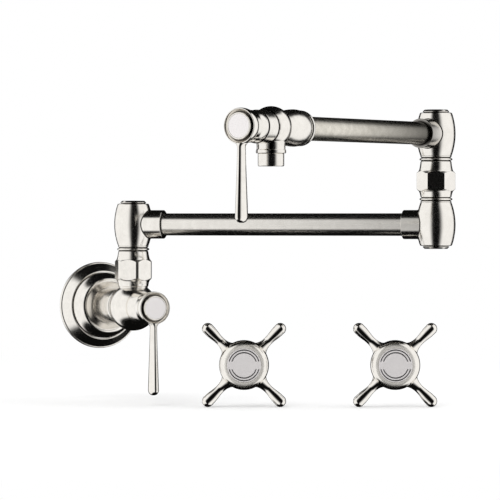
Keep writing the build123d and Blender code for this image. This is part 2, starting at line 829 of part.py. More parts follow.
lip_middle = coupling_lip / 2 - coupling_back
lip_half = coupling_lip * 0.31
lip_low = lip_middle - lip_half
lip_high = lip_middle + lip_half
with BuildPart() as coupling_lip_ring:
    with BuildSketch(outlet_plane):
        with BuildLine():
            Line((coupling_end_radius, lip_low), (coupling_end_radius + 0.1, lip_low))
            ThreePointArc(
                (coupling_end_radius + 0.1, lip_low),
                (coupling_lip_radius, lip_middle),
                (coupling_end_radius + 0.1, lip_high),
            )
            Line((coupling_end_radius + 0.1, lip_high), (coupling_end_radius, lip_high))
            Line((coupling_end_radius, lip_high), (coupling_end_radius, lip_low))
        make_face()
    revolve(axis=outlet_line)
save(coupling_lip_ring.part, "coupling_lip_ring")

with BuildPart() as outlet_body:
    with Locations(outlet_centre):
        Sphere(outlet_ball_radius)
    ball_reach = outlet_ball_radius + 1
    turn_band(outlet_plane, 0, ball_reach, -ball_reach, -coupling_front, Mode.SUBTRACT)
    turn_band(outlet_plane, 0, coupling_front_radius - 0.5, -coupling_front, 0)
    turn_band(outlet_plane, 0, outlet_boss_radius + outlet_boss_step, 0, outlet_seat)
    with BuildSketch(nozzle_plane):
        with BuildLine():
            Line((0, 0), (nozzle_radius, 0))
            Line((nozzle_radius, 0), (nozzle_radius, nozzle_length - 3.5))
            TangentArc(
                (nozzle_radius, nozzle_length - 3.5),
                (nozzle_lip_radius, nozzle_length - 0.6),
                tangent=(0, 1),
            )
            Line((nozzle_lip_radius, nozzle_length - 0.6), (nozzle_lip_radius, nozzle_length))
            Line((nozzle_lip_radius, nozzle_length), (0, nozzle_length))
            Line((0, nozzle_length), (0, 0))
        make_face()
    revolve(axis=nozzle_line)
    turn_band(
        outlet_plane,
        0,
        coupling_front_radius + 0.2,
        -ball_reach,
        -coupling_front,
        Mode.SUBTRACT,
    )
    turn_band(
        outlet_plane,
        outlet_boss_radius,
        outlet_boss_radius + 1.5,
        outlet_boss_groove,
        outlet_boss_groove + 0.7,
        Mode.SUBTRACT,
    )
    turn_band(outlet_plane, 0, cartridge_bore, seal_back, outlet_seat, Mode.SUBTRACT)
    turn_band(
        outlet_plane,
        0,
        outlet_boss_radius - 1.6,
        outlet_seat - bonnet_tail,
        outlet_seat,
        Mode.SUBTRACT,
    )
    turn_band(
        outlet_plane,
        0,
        coupling_thread_radius,
        -coupling_front,
        coupling_thread_end,
        Mode.SUBTRACT,
    )
    turn_band(outlet_plane, 0, waist_radius - 1, -coupling_front, 0, Mode.SUBTRACT)
    turn_band(nozzle_plane, 0, thread_radius, thread_top, nozzle_length, Mode.SUBTRACT)
    turn_band(nozzle_plane, 0, waterway_radius, 0, nozzle_length, Mode.SUBTRACT)
save(outlet_body.part, "outlet_body")

valve_cartridge("outlet", outlet_centre, upper_arm, outlet_seat)
valve_bonnet("outlet", outlet_centre, upper_arm, outlet_seat, outlet_boss_radius, outlet_bonnet_radius)
lever_handle("outlet", outlet_centre, upper_arm)

aerator_end = nozzle_length + aerator_length
gasket_depth = 1.0
with BuildPart() as aerator_housing:
    turn_band(nozzle_plane, 0, aerator_radius, nozzle_length, aerator_end)
    turn_band(nozzle_plane, 0, thread_radius - fit_gap, thread_top + gasket_depth, nozzle_length)
    mouth_rim = aerator_housing.edges().filter_by(GeomType.CIRCLE).sort_by(nozzle_line)[-1]
    fillet(mouth_rim, 0.5)
    turn_band(nozzle_plane, 0, aerator_bore - 0.8, thread_top, aerator_end - 3, Mode.SUBTRACT)
    turn_band(nozzle_plane, 0, aerator_bore, aerator_end - 4.5, aerator_end, Mode.SUBTRACT)
save(aerator_housing.part, "aerator_housing")

with BuildPart() as aerator_insert:
    turn_band(nozzle_plane, 0, aerator_bore, aerator_end - 4.5, aerator_end - 2.5)
    turn_band(nozzle_plane, 0, aerator_bore - 0.9, thread_top + 2, aerator_end - 4.5)
    with BuildSketch(Plane(origin=outlet_centre - up * aerator_end, z_dir=up)):
        with HexLocations(jet_pitch / 2, 5, 5):
            Circle(jet_radius)
    extrude(amount=aerator_length + aerator_tail, mode=Mode.SUBTRACT)
save(aerator_insert.part, "aerator_insert")

with BuildPart() as aerator_gasket:
    turn_band(
        nozzle_plane,
        aerator_bore - 2,
        thread_radius - fit_gap,
        thread_top,
        thread_top + gasket_depth,
    )
save(aerator_gasket.part, "aerator_gasket")


# -------------------------------------------------------- spare cross handles

facing = Vector(-sin(radians(cross_facing)), -cos(radians(cross_facing)), 0)


def cross_handle(name, place):
    """A four-armed handle standing on two of its tips, with its disc and spline insert."""
    centre = Vector(place[0], place[1], cross_height)
    across = up.cross(facing)
    plane = axial_plane(centre, facing, across)
    line = Axis(centre, facing)
    crown_start = cross_hub_radius - cross_crown
    crown_height = cross_face_height - cross_crown
    disc_floor = cross_face_height - cross_disc_thickness + cross_disc_proud
    tip_centre = cross_arm_reach - cross_arm_tip_radius

    with BuildPart() as body:
        with BuildSketch(plane):
            with BuildLine():
                Line((0, -cross_back_depth), (cross_back_radius, -cross_back_depth))
                Spline(
                    (cross_back_radius, -cross_back_depth),
                    (cross_hub_radius - 2.6, -4.2),
                    (cross_hub_radius, 0),
                    tangents=((0, 1), (0, 1)),
                )
                Line((cross_hub_radius, 0), (cross_hub_radius, crown_height))
                ThreePointArc(
                    (cross_hub_radius, crown_height),
                    (
                        crown_start + cross_crown * sin(radians(45)),
                        crown_height + cross_crown * cos(radians(45)),
                    ),
                    (crown_start, cross_face_height),
                )
                Line((crown_start, cross_face_height), (0, cross_face_height))
                Line((0, cross_face_height), (0, -cross_back_depth))
            make_face()
        revolve(axis=line)
        for turn in (45, 135, 225, 315):
            arm = across * cos(radians(turn)) + up * sin(radians(turn))
            with BuildSketch(axial_plane(centre, arm, facing)) as arm_half:
                with BuildLine():
                    Line((0, cross_back_radius), (cross_arm_neck_radius + 2.5, cross_back_radius))
                    Spline(
                        (cross_arm_neck_radius + 2.5, cross_back_radius),
                        (cross_arm_neck_radius, cross_arm_neck),
                        (cross_arm_tip_radius, tip_centre),
                        tangents=((0, 1), (0, 1)),
                    )
                    ThreePointArc(
                        (cross_arm_tip_radius, tip_centre),
                        (
                            cross_arm_tip_radius * sin(radians(45)),
                            tip_centre + cross_arm_tip_radius * cos(radians(45)),
                        ),
                        (0, cross_arm_reach),
                    )
                    Line((0, cross_arm_reach), (0, cross_back_radius))
                make_face()
            revolve(arm_half.sketch, axis=Axis(centre, arm))
        turn_band(plane, 0, cross_face_radius, disc_floor, cross_face_height, Mode.SUBTRACT)
        turn_band(plane, 0, cross_socket_radius, -cross_back_depth, disc_floor - 1.5, Mode.SUBTRACT)
    save(body.part, f"{name}_body")

    disc_front = cross_face_height + cross_disc_proud
    front_plane = Plane(origin=centre + facing * disc_front, x_dir=across, z_dir=facing)
    with BuildPart() as disc:
        turn_band(plane, 0, cross_face_radius - 0.05, disc_floor, disc_front)
        edge = disc.edges().filter_by(GeomType.CIRCLE).sort_by(line)[-1]
        fillet(edge, 0.4)
        with BuildSketch(front_plane):
            for radius in engraving_radii:
                Circle(radius)
                Circle(radius - engraving_width, mode=Mode.SUBTRACT)
            Rectangle(2 * cross_face_radius, engraving_gap, mode=Mode.SUBTRACT)
        extrude(amount=-engraving_depth, mode=Mode.SUBTRACT)
    save(disc.part, f"{name}_disc")

    with BuildPart() as insert:
        turn_band(plane, 0, cross_socket_radius - 0.05, -cross_back_depth, disc_floor - 1.6)
        spline_end = spline_depth - cross_back_depth
        turn_band(plane, 0, spline_radius, -cross_back_depth, spline_end, Mode.SUBTRACT)
    save(insert.part, f"{name}_insert")


cross_handle("left_cross_handle", cross_places[0])
cross_handle("right_cross_handle", cross_places[1])
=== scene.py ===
import json
import math
import bmesh
import bpy
import numpy as np
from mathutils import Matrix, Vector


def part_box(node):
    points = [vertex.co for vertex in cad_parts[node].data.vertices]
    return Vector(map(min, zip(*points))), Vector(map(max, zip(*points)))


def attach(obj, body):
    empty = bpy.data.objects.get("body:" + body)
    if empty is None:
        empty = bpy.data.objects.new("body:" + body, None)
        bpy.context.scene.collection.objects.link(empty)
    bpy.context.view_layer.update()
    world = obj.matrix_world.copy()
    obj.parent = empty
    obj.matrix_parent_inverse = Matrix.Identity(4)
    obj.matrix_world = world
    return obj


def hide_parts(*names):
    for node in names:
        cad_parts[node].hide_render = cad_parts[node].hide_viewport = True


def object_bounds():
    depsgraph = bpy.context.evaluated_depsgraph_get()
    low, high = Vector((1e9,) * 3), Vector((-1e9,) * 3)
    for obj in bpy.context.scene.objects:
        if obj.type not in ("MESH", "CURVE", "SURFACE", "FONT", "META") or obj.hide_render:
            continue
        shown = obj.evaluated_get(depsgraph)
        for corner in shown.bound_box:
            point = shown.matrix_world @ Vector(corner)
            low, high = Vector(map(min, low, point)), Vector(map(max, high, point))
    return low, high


# Wall mounted pot filler in brushed nickel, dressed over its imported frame.
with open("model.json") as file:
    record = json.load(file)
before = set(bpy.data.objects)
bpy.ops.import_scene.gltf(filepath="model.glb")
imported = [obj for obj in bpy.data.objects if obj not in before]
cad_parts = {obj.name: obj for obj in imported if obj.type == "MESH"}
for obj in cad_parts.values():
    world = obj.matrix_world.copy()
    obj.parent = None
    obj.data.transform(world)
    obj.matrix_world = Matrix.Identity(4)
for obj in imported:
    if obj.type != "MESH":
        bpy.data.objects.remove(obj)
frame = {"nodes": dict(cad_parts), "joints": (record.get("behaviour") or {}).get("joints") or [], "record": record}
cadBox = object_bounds()
mm = 0.001
print("frame loaded")

# places, all read from the frame
joints = {joint["name"]: joint for joint in frame["joints"]}
up = np.array([0.0, 0.0, 1.0])
outOfWall = np.array([0.0, -1.0, 0.0])
wallCentre = np.zeros(3)
baseAxis = np.array(joints["base_swivel"]["pos_m"], float)
elbowAxis = np.array(joints["elbow_swivel"]["pos_m"], float)
inletCentre = np.array(joints["inlet_lever_turn"]["pos_m"], float)
outletCentre = np.array(joints["outlet_lever_turn"]["pos_m"], float)


def unit(way):
    # way / |way|
    return np.asarray(way, float) / np.linalg.norm(way)


def middleOf(node):
    # (low corner + high corner) / 2
    low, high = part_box(node)
    return (np.array(low) + np.array(high)) / 2


lowerTubeHeight = middleOf("lower_tube")[2]
upperTubeHeight = middleOf("upper_tube")[2]
innerCentre = np.array([baseAxis[0], baseAxis[1], lowerTubeHeight])
elbowLowCentre = np.array([elbowAxis[0], elbowAxis[1], lowerTubeHeight])
elbowHighCentre = np.array([elbowAxis[0], elbowAxis[1], upperTubeHeight])
lowerArm = unit(elbowLowCentre - innerCentre)
upperArm = unit(outletCentre - elbowHighCentre)
armLength = float(np.linalg.norm(elbowLowCentre - innerCentre)) / mm

# the photograph's camera
cameraView = {
    "focalPixels": 3571.8,  # focal length over pixel size, at 500 pixels across
    "photoSize": 500,
    "principal": (241.95, 216.29),  # where the level view direction meets the photo
    "azimuth": 24.8,  # degrees turned from +Y towards +X
    "place": (-1.14176, -2.75433, 0.07391),
    "sensor": 36,
}
camera = bpy.data.objects.new("camera", bpy.data.cameras.new("camera"))
bpy.context.scene.collection.objects.link(camera)
camera.location = cameraView["place"]
camera.rotation_euler = (math.radians(90), 0, -math.radians(cameraView["azimuth"]))
camera.data.sensor_width = cameraView["sensor"]
camera.data.lens = cameraView["sensor"] * cameraView["focalPixels"] / cameraView["photoSize"]
camera.data.shift_x = (cameraView["photoSize"] / 2 - cameraView["principal"][0]) / cameraView["photoSize"]
camera.data.shift_y = (cameraView["principal"][1] - cameraView["photoSize"] / 2) / cameraView["photoSize"]
bpy.context.scene.camera = camera
print("camera set")


# materials
def newFinish(name):
    finish = bpy.data.materials.new(name)
    finish.use_nodes = True
    tree = finish.node_tree
    shader = tree.nodes["Principled BSDF"]
    return finish, tree, shader


def addNode(tree, kind, **settings):
    # each setting goes to the input of that name, or else to the node's own property
    node = tree.nodes.new(kind)
    for key, value in settings.items():
        if key in node.inputs:
            node.inputs[key].default_value = value
        else:
            setattr(node, key, value)
    return node


def addNoise(tree, scale, detail, roughness=0.5):
    # noise over the piece's own coordinates, with its scale in cycles per metre
    place = addNode(tree, "ShaderNodeTexCoord")
    noise = addNode(tree, "ShaderNodeTexNoise", Scale=scale, Detail=detail, Roughness=roughness)
    tree.links.new(place.outputs["Object"], noise.inputs["Vector"])
    return noise.outputs["Fac"]


def addMark(tree, name):
    return addNode(tree, "ShaderNodeAttribute", attribute_name=name).outputs["Fac"]


def addRange(tree, value, source, target=(0.0, 1.0), **settings):
    # value runs from source[0] to source[1], the result from target[0] to target[1]
    node = addNode(tree, "ShaderNodeMapRange", **settings)
    for socket, number in zip(("From Min", "From Max", "To Min", "To Max"), (*source, *target)):
        node.inputs[socket].default_value = number
    tree.links.new(value, node.inputs["Value"])
    return node.outputs["Result"]


def addMaths(tree, operation, first, second=None):
    # each value is a number or another node's socket
    node = addNode(tree, "ShaderNodeMath", operation=operation)
    for socket, value in zip(node.inputs, (first, second)):
        if isinstance(value, bpy.types.NodeSocket):
            tree.links.new(value, socket)
        elif value is not None:
            socket.default_value = value
    return node.outputs[0]


mixColour = {"low": 6, "high": 7, "result": 2}  # the Mix node's colour sockets, which share their names


def mixTones(tree, share, low, high):
    # (1 - share) * low + share * high, where each tone is a colour or another node's socket
    mixed = addNode(tree, "ShaderNodeMix", data_type="RGBA")
    tree.links.new(share, mixed.inputs[0])
    for place, tone in (("low", low), ("high", high)):
        socket = mixed.inputs[mixColour[place]]
        if isinstance(tone, bpy.types.NodeSocket):
            tree.links.new(tone, socket)
        else:
            socket.default_value = (*tone, 1)
    return mixed.outputs[mixColour["result"]]


def addRelief(tree, shader, height, strength, depth):
    # bumps the surface by height * depth, in metres
    relief = addNode(tree, "ShaderNodeBump", Strength=strength, Distance=depth)
    tree.links.new(height, relief.inputs["Height"])
    tree.links.new(relief.outputs["Normal"], shader.inputs["Normal"])


nickel = {
    "colour": (0.880, 0.850, 0.800),
    "colourDark": (0.800, 0.770, 0.720),
    "cloudScale": 170.0,  # cycles per metre
    "cloudRange": (0.30, 0.70),
    "roughness": (0.15, 0.21),
    "brushLength": 26.0,  # cycles per metre along a brush line
    "brushFineness": 2600.0,  # cycles per metre across the lines
    "brushSlant": 0,  # degrees
    "brushRange": (0.25, 0.75),
    "brushStrength": 0.5,
    "brushDepth": 0.000002,
}
tubeGrain = {"roughness": (0.21, 0.30), "brushSlant": 38, "brushDepth": 0.000004}
polish = {"roughness": (0.07, 0.12), "brushDepth": 0.0000006}
paintedShadeTone = (0.05, 0.045, 0.04)  # painted shade laid into the narrow joints and grooves


def brushedNickel(name, **changes):
    # the tone is cloudy noise; roughness and relief are noise stretched along the surface map;
    # where the mesh's own mark is 1 the tone turns to a painted shade ("shade") or the face matt ("satin")
    settings = dict(nickel, **changes)
    finish, tree, shader = newFinish(name)
    surface = addNode(tree, "ShaderNodeUVMap", uv_map="surface")
    stretch = addNode(tree, "ShaderNodeMapping")
    stretch.inputs["Scale"].default_value = (settings["brushFineness"], settings["brushLength"], 1)
    stretch.inputs["Rotation"].default_value = (0, 0, math.radians(settings["brushSlant"]))
    lines = addNode(tree, "ShaderNodeTexNoise", Scale=1.0, Detail=3.0, Roughness=0.6)
    tree.links.new(surface.outputs["UV"], stretch.inputs["Vector"])
    tree.links.new(stretch.outputs["Vector"], lines.inputs["Vector"])
    clouds = addRange(tree, addNoise(tree, settings["cloudScale"], 4.0, 0.62), settings["cloudRange"])
    tone = mixTones(tree, clouds, settings["colourDark"], settings["colour"])
    if "shade" in settings:
        tone = mixTones(tree, addMark(tree, "shade"), tone, settings["shade"])
    tree.links.new(tone, shader.inputs["Base Color"])
    rough = addRange(tree, lines.outputs["Fac"], settings["brushRange"], settings["roughness"])
    if "satin" in settings:
        mark = addMark(tree, "satin")
        matt = addRange(tree, mark, (0.0, 1.0), (0.0, settings["satin"]))
        rough = addMaths(tree, "MAXIMUM", matt, rough)
        metallic = addRange(tree, mark, (0.0, 1.0), (1.0, settings["satinMetallic"]))
        tree.links.new(metallic, shader.inputs["Metallic"])
    else:
        shader.inputs["Metallic"].default_value = 1.0
    tree.links.new(rough, shader.inputs["Roughness"])
    addRelief(tree, shader, lines.outputs["Fac"], settings["brushStrength"], settings["brushDepth"])
    return finish


turnedNickel = brushedNickel("turned_nickel")
tubeNickel = brushedNickel("tube_nickel", **tubeGrain)
upperTubeNickel = brushedNickel(
    "upper_tube_nickel",
    **dict(
        tubeGrain,
        colour=(0.79, 0.75, 0.67),
        colourDark=(0.61, 0.575, 0.505),
        roughness=(0.21, 0.31),
        # painted reflection of the dark column, laid on where the mark is 1
        shade=(0.08, 0.074, 0.062),
    ),
)
polishedNickel = brushedNickel("polished_nickel", **polish)
# this finish carries the painted shade of the grooves and joints
shadedGrooveNickel = brushedNickel("grooved_nickel", shade=paintedShadeTone)
# the hub's groove takes the same painted shade
hubNickel = brushedNickel("hub_nickel", shade=paintedShadeTone, **polish)
crossNickel = brushedNickel("cross_nickel", brushStrength=0.12, satin=0.34, satinMetallic=0.5, **polish)


def grainedFinish(name, settings):
    # one cloudy tone and a fine grain in the relief, on the piece's own coordinates
    finish, tree, shader = newFinish(name)
    shader.inputs["Metallic"].default_value = settings["metallic"]
    shader.inputs["Roughness"].default_value = settings["roughness"]
    colour = settings["colour"]
    grain = addNoise(tree, *settings["grain"])
    clouds = addNoise(tree, *settings["clouds"]) if "clouds" in settings else grain
    tone = mixTones(tree, clouds, [part * settings["darkest"] for part in colour], colour)
    if "engraving" in settings:
        tone = mixTones(tree, addMark(tree, "engraving"), tone, settings["engraving"])
    tree.links.new(tone, shader.inputs["Base Color"])
    addRelief(tree, shader, grain, *settings["relief"])
    return finish


discSettings = {
    "colour": (0.82, 0.79, 0.785),
    "metallic": 0.36,
    "roughness": 0.40,
    "grain": (3500.0, 2.0),  # cycles per metre, detail
    "clouds": (120.0, 3.0),
    "darkest": 0.94,
    "relief": (0.25, 0.00001),  # strength, depth in metres
}
discSatin = grainedFinish("disc_satin", discSettings)
engravedSatin = grainedFinish(
    "engraved_satin", dict(discSettings, roughness=0.45, engraving=(0.012, 0.012, 0.014))
)


def plainFinish(name, colour, metallic, roughness, grainScale, darkest):
    # the small inner parts: one tone with a little grain in it
    settings = {"colour": colour, "metallic": metallic, "roughness": roughness, "darkest": darkest}
    return grainedFinish(name, dict(settings, grain=(grainScale, 3.0), relief=(0.2, 0.00002)))


innerFinishes = {
    "stainless": plainFinish("stainless", (0.58, 0.58, 0.59), 1.0, 0.32, 900, 0.88),
    "brass": plainFinish("brass", (0.72, 0.54, 0.28), 1.0, 0.30, 700, 0.85),
    "rubber": plainFinish("rubber", (0.035, 0.035, 0.036), 0.0, 0.62, 1200, 0.7),
    "cartridge_plastic": plainFinish("cartridge_plastic", (0.82, 0.82, 0.79), 0.0, 0.45, 500, 0.94),
    "aerator_plastic": plainFinish("aerator_plastic", (0.62, 0.63, 0.64), 0.0, 0.42, 500, 0.92),
    "nickel_brushed": turnedNickel,
    "nickel_polished": polishedNickel,
    "disc_satin": discSatin,
}
for entry in frame["record"]["subparts"]:
    node = frame["nodes"][entry["node"]]
    node.data.materials.clear()
    node.data.materials.append(innerFinishes[entry["material_slot"]])
print("finishes made")


# outlines and surfaces: a knot is (radius, height, rounding) in mm
def softCorners(knots, steps=5):
    # every knot P is (radius, height, rounding); its corner becomes (1-s)^2 A + 2s(1-s) P + s^2 B,
    # where A and B lie on its two sides, one rounding away, and a guard point keeps each side straight
    knots = np.asarray(knots, float)
    gap = np.linalg.norm(np.diff(knots[:, :2], axis=0), axis=1)
    knots = knots[np.concatenate([[True], gap > 1e-6])]
    spot, rounding = knots[:, :2], knots[:, 2:3]
    before, after = spot[:-2] - spot[1:-1], spot[2:] - spot[1:-1]
    beforeLength = np.linalg.norm(before, axis=1, keepdims=True)
    afterLength = np.linalg.norm(after, axis=1, keepdims=True)
    shorter = np.minimum(beforeLength, afterLength)
    cut = np.minimum(rounding[1:-1], 0.46 * shorter)
    guard = np.minimum(cut * 1.12, 0.49 * shorter)
    first = spot[1:-1] + before / beforeLength * cut
    last = spot[1:-1] + after / afterLength * cut
    s = np.linspace(0, 1, steps)[None, :, None]
    curve = (1 - s) ** 2 * first[:, None] + 2 * s * (1 - s) * spot[1:-1][:, None] + s**2 * last[:, None]
    guardFirst = (spot[1:-1] + before / beforeLength * guard)[:, None]
    guardLast = (spot[1:-1] + after / afterLength * guard)[:, None]
    rows = np.concatenate([guardFirst, curve, guardLast], axis=1).reshape(-1, 2)
    return np.vstack([spot[:1], rows, spot[-1:]])


smooth = 99.0  # a rounding as large as the knots beside it allow


def roundedRun(points, corner):
    # knots along a smooth curve, with the given rounding at both ends
    rounding = np.full((len(points), 1), smooth)
    rounding[[0, -1]] = corner
    return np.hstack([points, rounding])


def arcRun(first, through, last, count=9, corner=0.2):
    # knots along the circle through three points: centre + radius * (cos turn, sin turn)
    a, b, c = (np.asarray(point, float) for point in (first, through, last))
    matrix = 2 * np.array([b - a, c - a])
    centre = np.linalg.solve(matrix, np.array([b @ b - a @ a, c @ c - a @ a]))
    angles = np.unwrap(np.arctan2(*(np.array([a, b, c]) - centre).T[::-1]))
    radius = np.linalg.norm(a - centre)
    turn = np.linspace(angles[0], angles[2], count)
    return roundedRun(centre + radius * np.stack([np.cos(turn), np.sin(turn)], axis=1), corner)


def flareRun(first, firstWay, last, lastWay, count=7, corner=0.2):
    # a cubic Hermite curve between two points, with the given direction and pull at each end
    a, b = np.asarray(first, float), np.asarray(last, float)
    pullA, pullB = np.asarray(firstWay, float), np.asarray(lastWay, float)
    s = np.linspace(0, 1, count)[:, None]
    points = (
        (2 * s**3 - 3 * s**2 + 1) * a
        + (s**3 - 2 * s**2 + s) * pullA
        + (3 * s**2 - 2 * s**3) * b
        + (s**3 - s**2) * pullB
    )
    return roundedRun(points, corner)


def edge(radius, height, rounding=0.2):
    # one knot
    return np.array([[radius, height, rounding]])


def outline(*runs):
    # all runs one after the other, with their corners rounded
    return softCorners(np.vstack(runs))


def acrossFrom(way):
    # a unit direction square to way: way x up, or way x y where way stands upright
    helper = up if abs(way[2]) < 0.9 else np.array([0.0, 1.0, 0.0])
    return unit(np.cross(way, helper))


def gridFaces(rows, columns, start=0):
    # the four corners of every cell of a grid whose points are numbered row by row
    index = np.arange(rows * columns).reshape(rows, columns) + start
    corners = [index[:-1, :-1], index[:-1, 1:], index[1:, 1:], index[1:, :-1]]
    return np.stack(corners, axis=-1).reshape(-1, 4)


def turnedGrid(profile, centre, way, segments=112):
    # point(i, t) = centre + way * height_i + (across * cos t + side * sin t) * radius_i
    way = unit(way)
    across = acrossFrom(way)
    side = np.cross(way, across)
    turn = np.linspace(0, 2 * np.pi, segments + 1)
    ring = np.cos(turn)[:, None] * across + np.sin(turn)[:, None] * side
    radius, height = profile[:, 0:1, None] * mm, profile[:, 1:2, None] * mm
    points = np.asarray(centre) + height * way + radius * ring[None]
    run = np.concatenate([[0], np.cumsum(np.linalg.norm(np.diff(profile, axis=0), axis=1))]) * mm
    around = turn * profile[:, 0].max() * mm
    surface = np.stack(np.broadcast_arrays(around[None, :], run[:, None]), axis=-1)
    return points, surface


def closeSeams(mesh):
    work = bmesh.new()
    work.from_mesh(mesh)
    bmesh.ops.remove_doubles(work, verts=work.verts, dist=1e-6)
    bmesh.ops.dissolve_degenerate(work, edges=work.edges, dist=1e-7)
    bmesh.ops.recalc_face_normals(work, faces=work.faces)
    work.to_mesh(mesh)
    work.free()


def makePiece(name, grids, finish, body, replaced):
    # joins grids of points into one closed, smooth mesh whose map is in metres
    corners, faces, maps, start = [], [], [], 0
    for points, surface in grids:
        rows, columns = points.shape[:2]
        faces.append(gridFaces(rows, columns, start))
        corners.append(points.reshape(-1, 3))
        maps.append(surface.reshape(-1, 2))
        start += rows * columns
    corners, faces, maps = np.vstack(corners), np.vstack(faces), np.vstack(maps)
    mesh = bpy.data.meshes.new(name)
    mesh.from_pydata(corners, [], faces)
    cornerMaps = maps[faces.ravel()].astype(np.float32)
    mesh.uv_layers.new(name="surface").data.foreach_set("uv", cornerMaps.ravel())
    closeSeams(mesh)
    mesh.polygons.foreach_set("use_smooth", np.ones(len(mesh.polygons), bool))
    mesh.materials.append(finish)
    piece = bpy.data.objects.new(name, mesh)
    bpy.context.scene.collection.objects.link(piece)
    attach(piece, body)
    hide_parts(*replaced)
    return piece


def markMesh(piece, name, centre, way, measure):
    # stores measure(across, up, along way), in mm from the centre, as the mesh's own mark
    mesh = piece.data
    spots = np.empty(len(mesh.vertices) * 3)
    mesh.vertices.foreach_get("co", spots)
    spots = (spots.reshape(-1, 3) - centre) / mm
    values = measure(spots @ np.cross(up, way), spots @ up, spots @ way)
    mesh.attributes.new(name, "FLOAT", "POINT").data.foreach_set("value", values.astype(np.float32))


# flange and neck
flange = {
    "rim": 35.8,
    "rimHeight": 2.2,
    "lip": (34.8, 2.9),
    "slope": (31.5, 6.05),  # a point on the hollow between the lip and the foot
    "foot": (27.6, 8.9),
    "ledge": 0.75,  # flat width round the dome's foot
    "sheet": 1.6,
    "domeSkirt": 2.8,  # how far the dome reaches into the base
    "domeGap": 0.3,
    "domeBend": 10.2,
    "crest": (20.3, 20.2),
    "dish": 1.2,
    "neck": 14.6,
}


def flangeBase():
    rim, height, ledge = flange["rim"], flange["rimHeight"], flange["ledge"]
    lip, foot, sheet = flange["lip"], flange["foot"], flange["sheet"]
    profile = outline(
        edge(rim - sheet, height / 2),
        edge(rim - sheet, 0.02, 0.3),
        edge(rim, 0.02, 0.3),
        edge(rim, height, 0.35),
        edge(rim - 0.35, lip[1] - 0.1, 0.35),
        edge(lip[0] - 0.1, lip[1] + 0.05, 0.25),
        arcRun((lip[0] - 0.4, lip[1] + 0.3), flange["slope"], (foot[0] + ledge + 0.25, foot[1] - 0.1)),
        edge(foot[0] + ledge, foot[1], 0.15),
        edge(foot[0] + 0.02, foot[1], 0.1),
        edge(foot[0], foot[1] - sheet, 0.1),
        edge(rim - sheet - 1.5, height + 0.6, 0.5),
        edge(rim - sheet, height / 2),
    )
    return turnedGrid(profile, wallCentre, outOfWall, 160)


def flangeDome():
    # from the skirt in the base up to the crest, then down into the dish round the neck
    radius, sheet, bend = flange["foot"][0] - flange["domeGap"], flange["sheet"], flange["domeBend"]
    low = flange["foot"][1] - flange["domeSkirt"]
    crest, neckRadius = flange["crest"], flange["neck"]
    floor = crest[1] - flange["dish"] - 0.3
    profile = outline(
        edge(radius - sheet, low + 1),
        edge(radius - sheet, low, 0.2),
        edge(radius, low, 0.2),
        edge(radius, bend - 0.45, 0.1),
        flareRun((radius, bend), (0, 7.5), (crest[0] + 1.4, crest[1] - 0.25), (-6.5, 1.2), 9, 0.5),
        edge(crest[0] + 0.2, crest[1], 0.8),
        flareRun((crest[0] - 0.9, crest[1] - 0.25), (-2, -0.9), (neckRadius, floor), (-2.5, 0.1), 6),
        edge(neckRadius, crest[1] - 3.2, 0.1),
        edge(crest[0] - 1, crest[1] - 2.4, 0.5),
        flareRun((crest[0], crest[1] - 2.4), (5, -1), (radius - sheet, bend), (0, -6), 7, 0.5),
        edge(radius - sheet, low + 1),
    )
    return turnedGrid(profile, wallCentre, outOfWall, 144)


def domeShade(x, y, z):
    # painted shade: 1 on the outside of the skirt, where the dome leaves the base, so that the groove at the
    # dome's foot shows dark
    return ((z < flange["domeBend"] - 0.4) & (np.hypot(x, y) > flange["foot"][0] - 1.6)).astype(float)


makePiece("flange_base_shell", [flangeBase()], turnedNickel, "wall_side", ["flange_base"])
dome = makePiece("flange_dome_shell", [flangeDome()], shadedGrooveNickel, "wall_side", ["flange_dome"])
markMesh(dome, "shade", wallCentre, outOfWall, domeShade)

neck = {
    "radius": 14.5,
    "bore": 12.6,
    "back": 9.0,
    "ringBack": 51.4,
    "ringFront": 59.5,
    "beads": ((15.3, 0.22), (15.35, 0.74)),  # each bead's radius and its place along the ring
    "beadHalf": 1.15,
    "waist": 14.3,
}


def neckSleeve():
    bore, radius, back, front = neck["bore"], neck["radius"], neck["back"], neck["ringBack"]
    profile = outline(
        edge(bore, 30),
        edge(bore, back),
        edge(radius, back),
        edge(radius, front - 0.6, 0.15),
        edge(radius - 0.25, front - 0.1, 0.15),
        edge(bore, front - 0.1),
        edge(bore, 30),
    )
    return turnedGrid(profile, wallCentre, outOfWall)


def neckRing():
    bore, radius, waist, half = neck["bore"], neck["radius"], neck["waist"], neck["beadHalf"]
    back, front = neck["ringBack"], neck["ringFront"]
    (backBead, backPlace), (frontBead, frontPlace) = neck["beads"]
    low, high = back + backPlace * (front - back), back + frontPlace * (front - back)
    profile = outline(
        edge(bore, (back + front) / 2),
        edge(bore, back),
        edge(radius - 0.2, back + 0.1, 0.15),
        arcRun((radius - 0.1, back + 0.5), (backBead, low), (waist + 0.05, low + half), corner=0.3),
        edge(waist, (low + high) / 2, 0.6),
        arcRun((waist + 0.05, high - half), (frontBead, high), (radius + 0.25, front - 0.25), corner=0.25),
        edge(waist - 0.1, front, 0.2),
        edge(bore, front),
        edge(bore, (back + front) / 2),
    )
    return turnedGrid(profile, wallCentre, outOfWall, 128)


makePiece("neck_sleeve_shell", [neckSleeve()], turnedNickel, "wall_side", ["neck_sleeve"])
makePiece("neck_ring_shell", [neckRing()], turnedNickel, "wall_side", ["neck_ring"])
print("flange and neck made")

# inlet valve
inletValve = {
    "ball": 19.4,
    "riser": 12.2,
    "riserFoot": 17.4,
    "riserTop": 13.9,
    "riserLeave": 38,  # degrees from the top of the ball to the fillet's start
    "hexLow": 22.1,
    "hexHigh": 38.3,
    "boss": 13.1,
    "bossSpread": 4.6,
    "seat": 14.5,
    "bonnetBack": 13.1,
    "bonnetFront": 12.0,
    "shank": 12.5,
    "thread": 9.3,
    "threadDepth": 16.0,
    "waterway": 7.0,
}


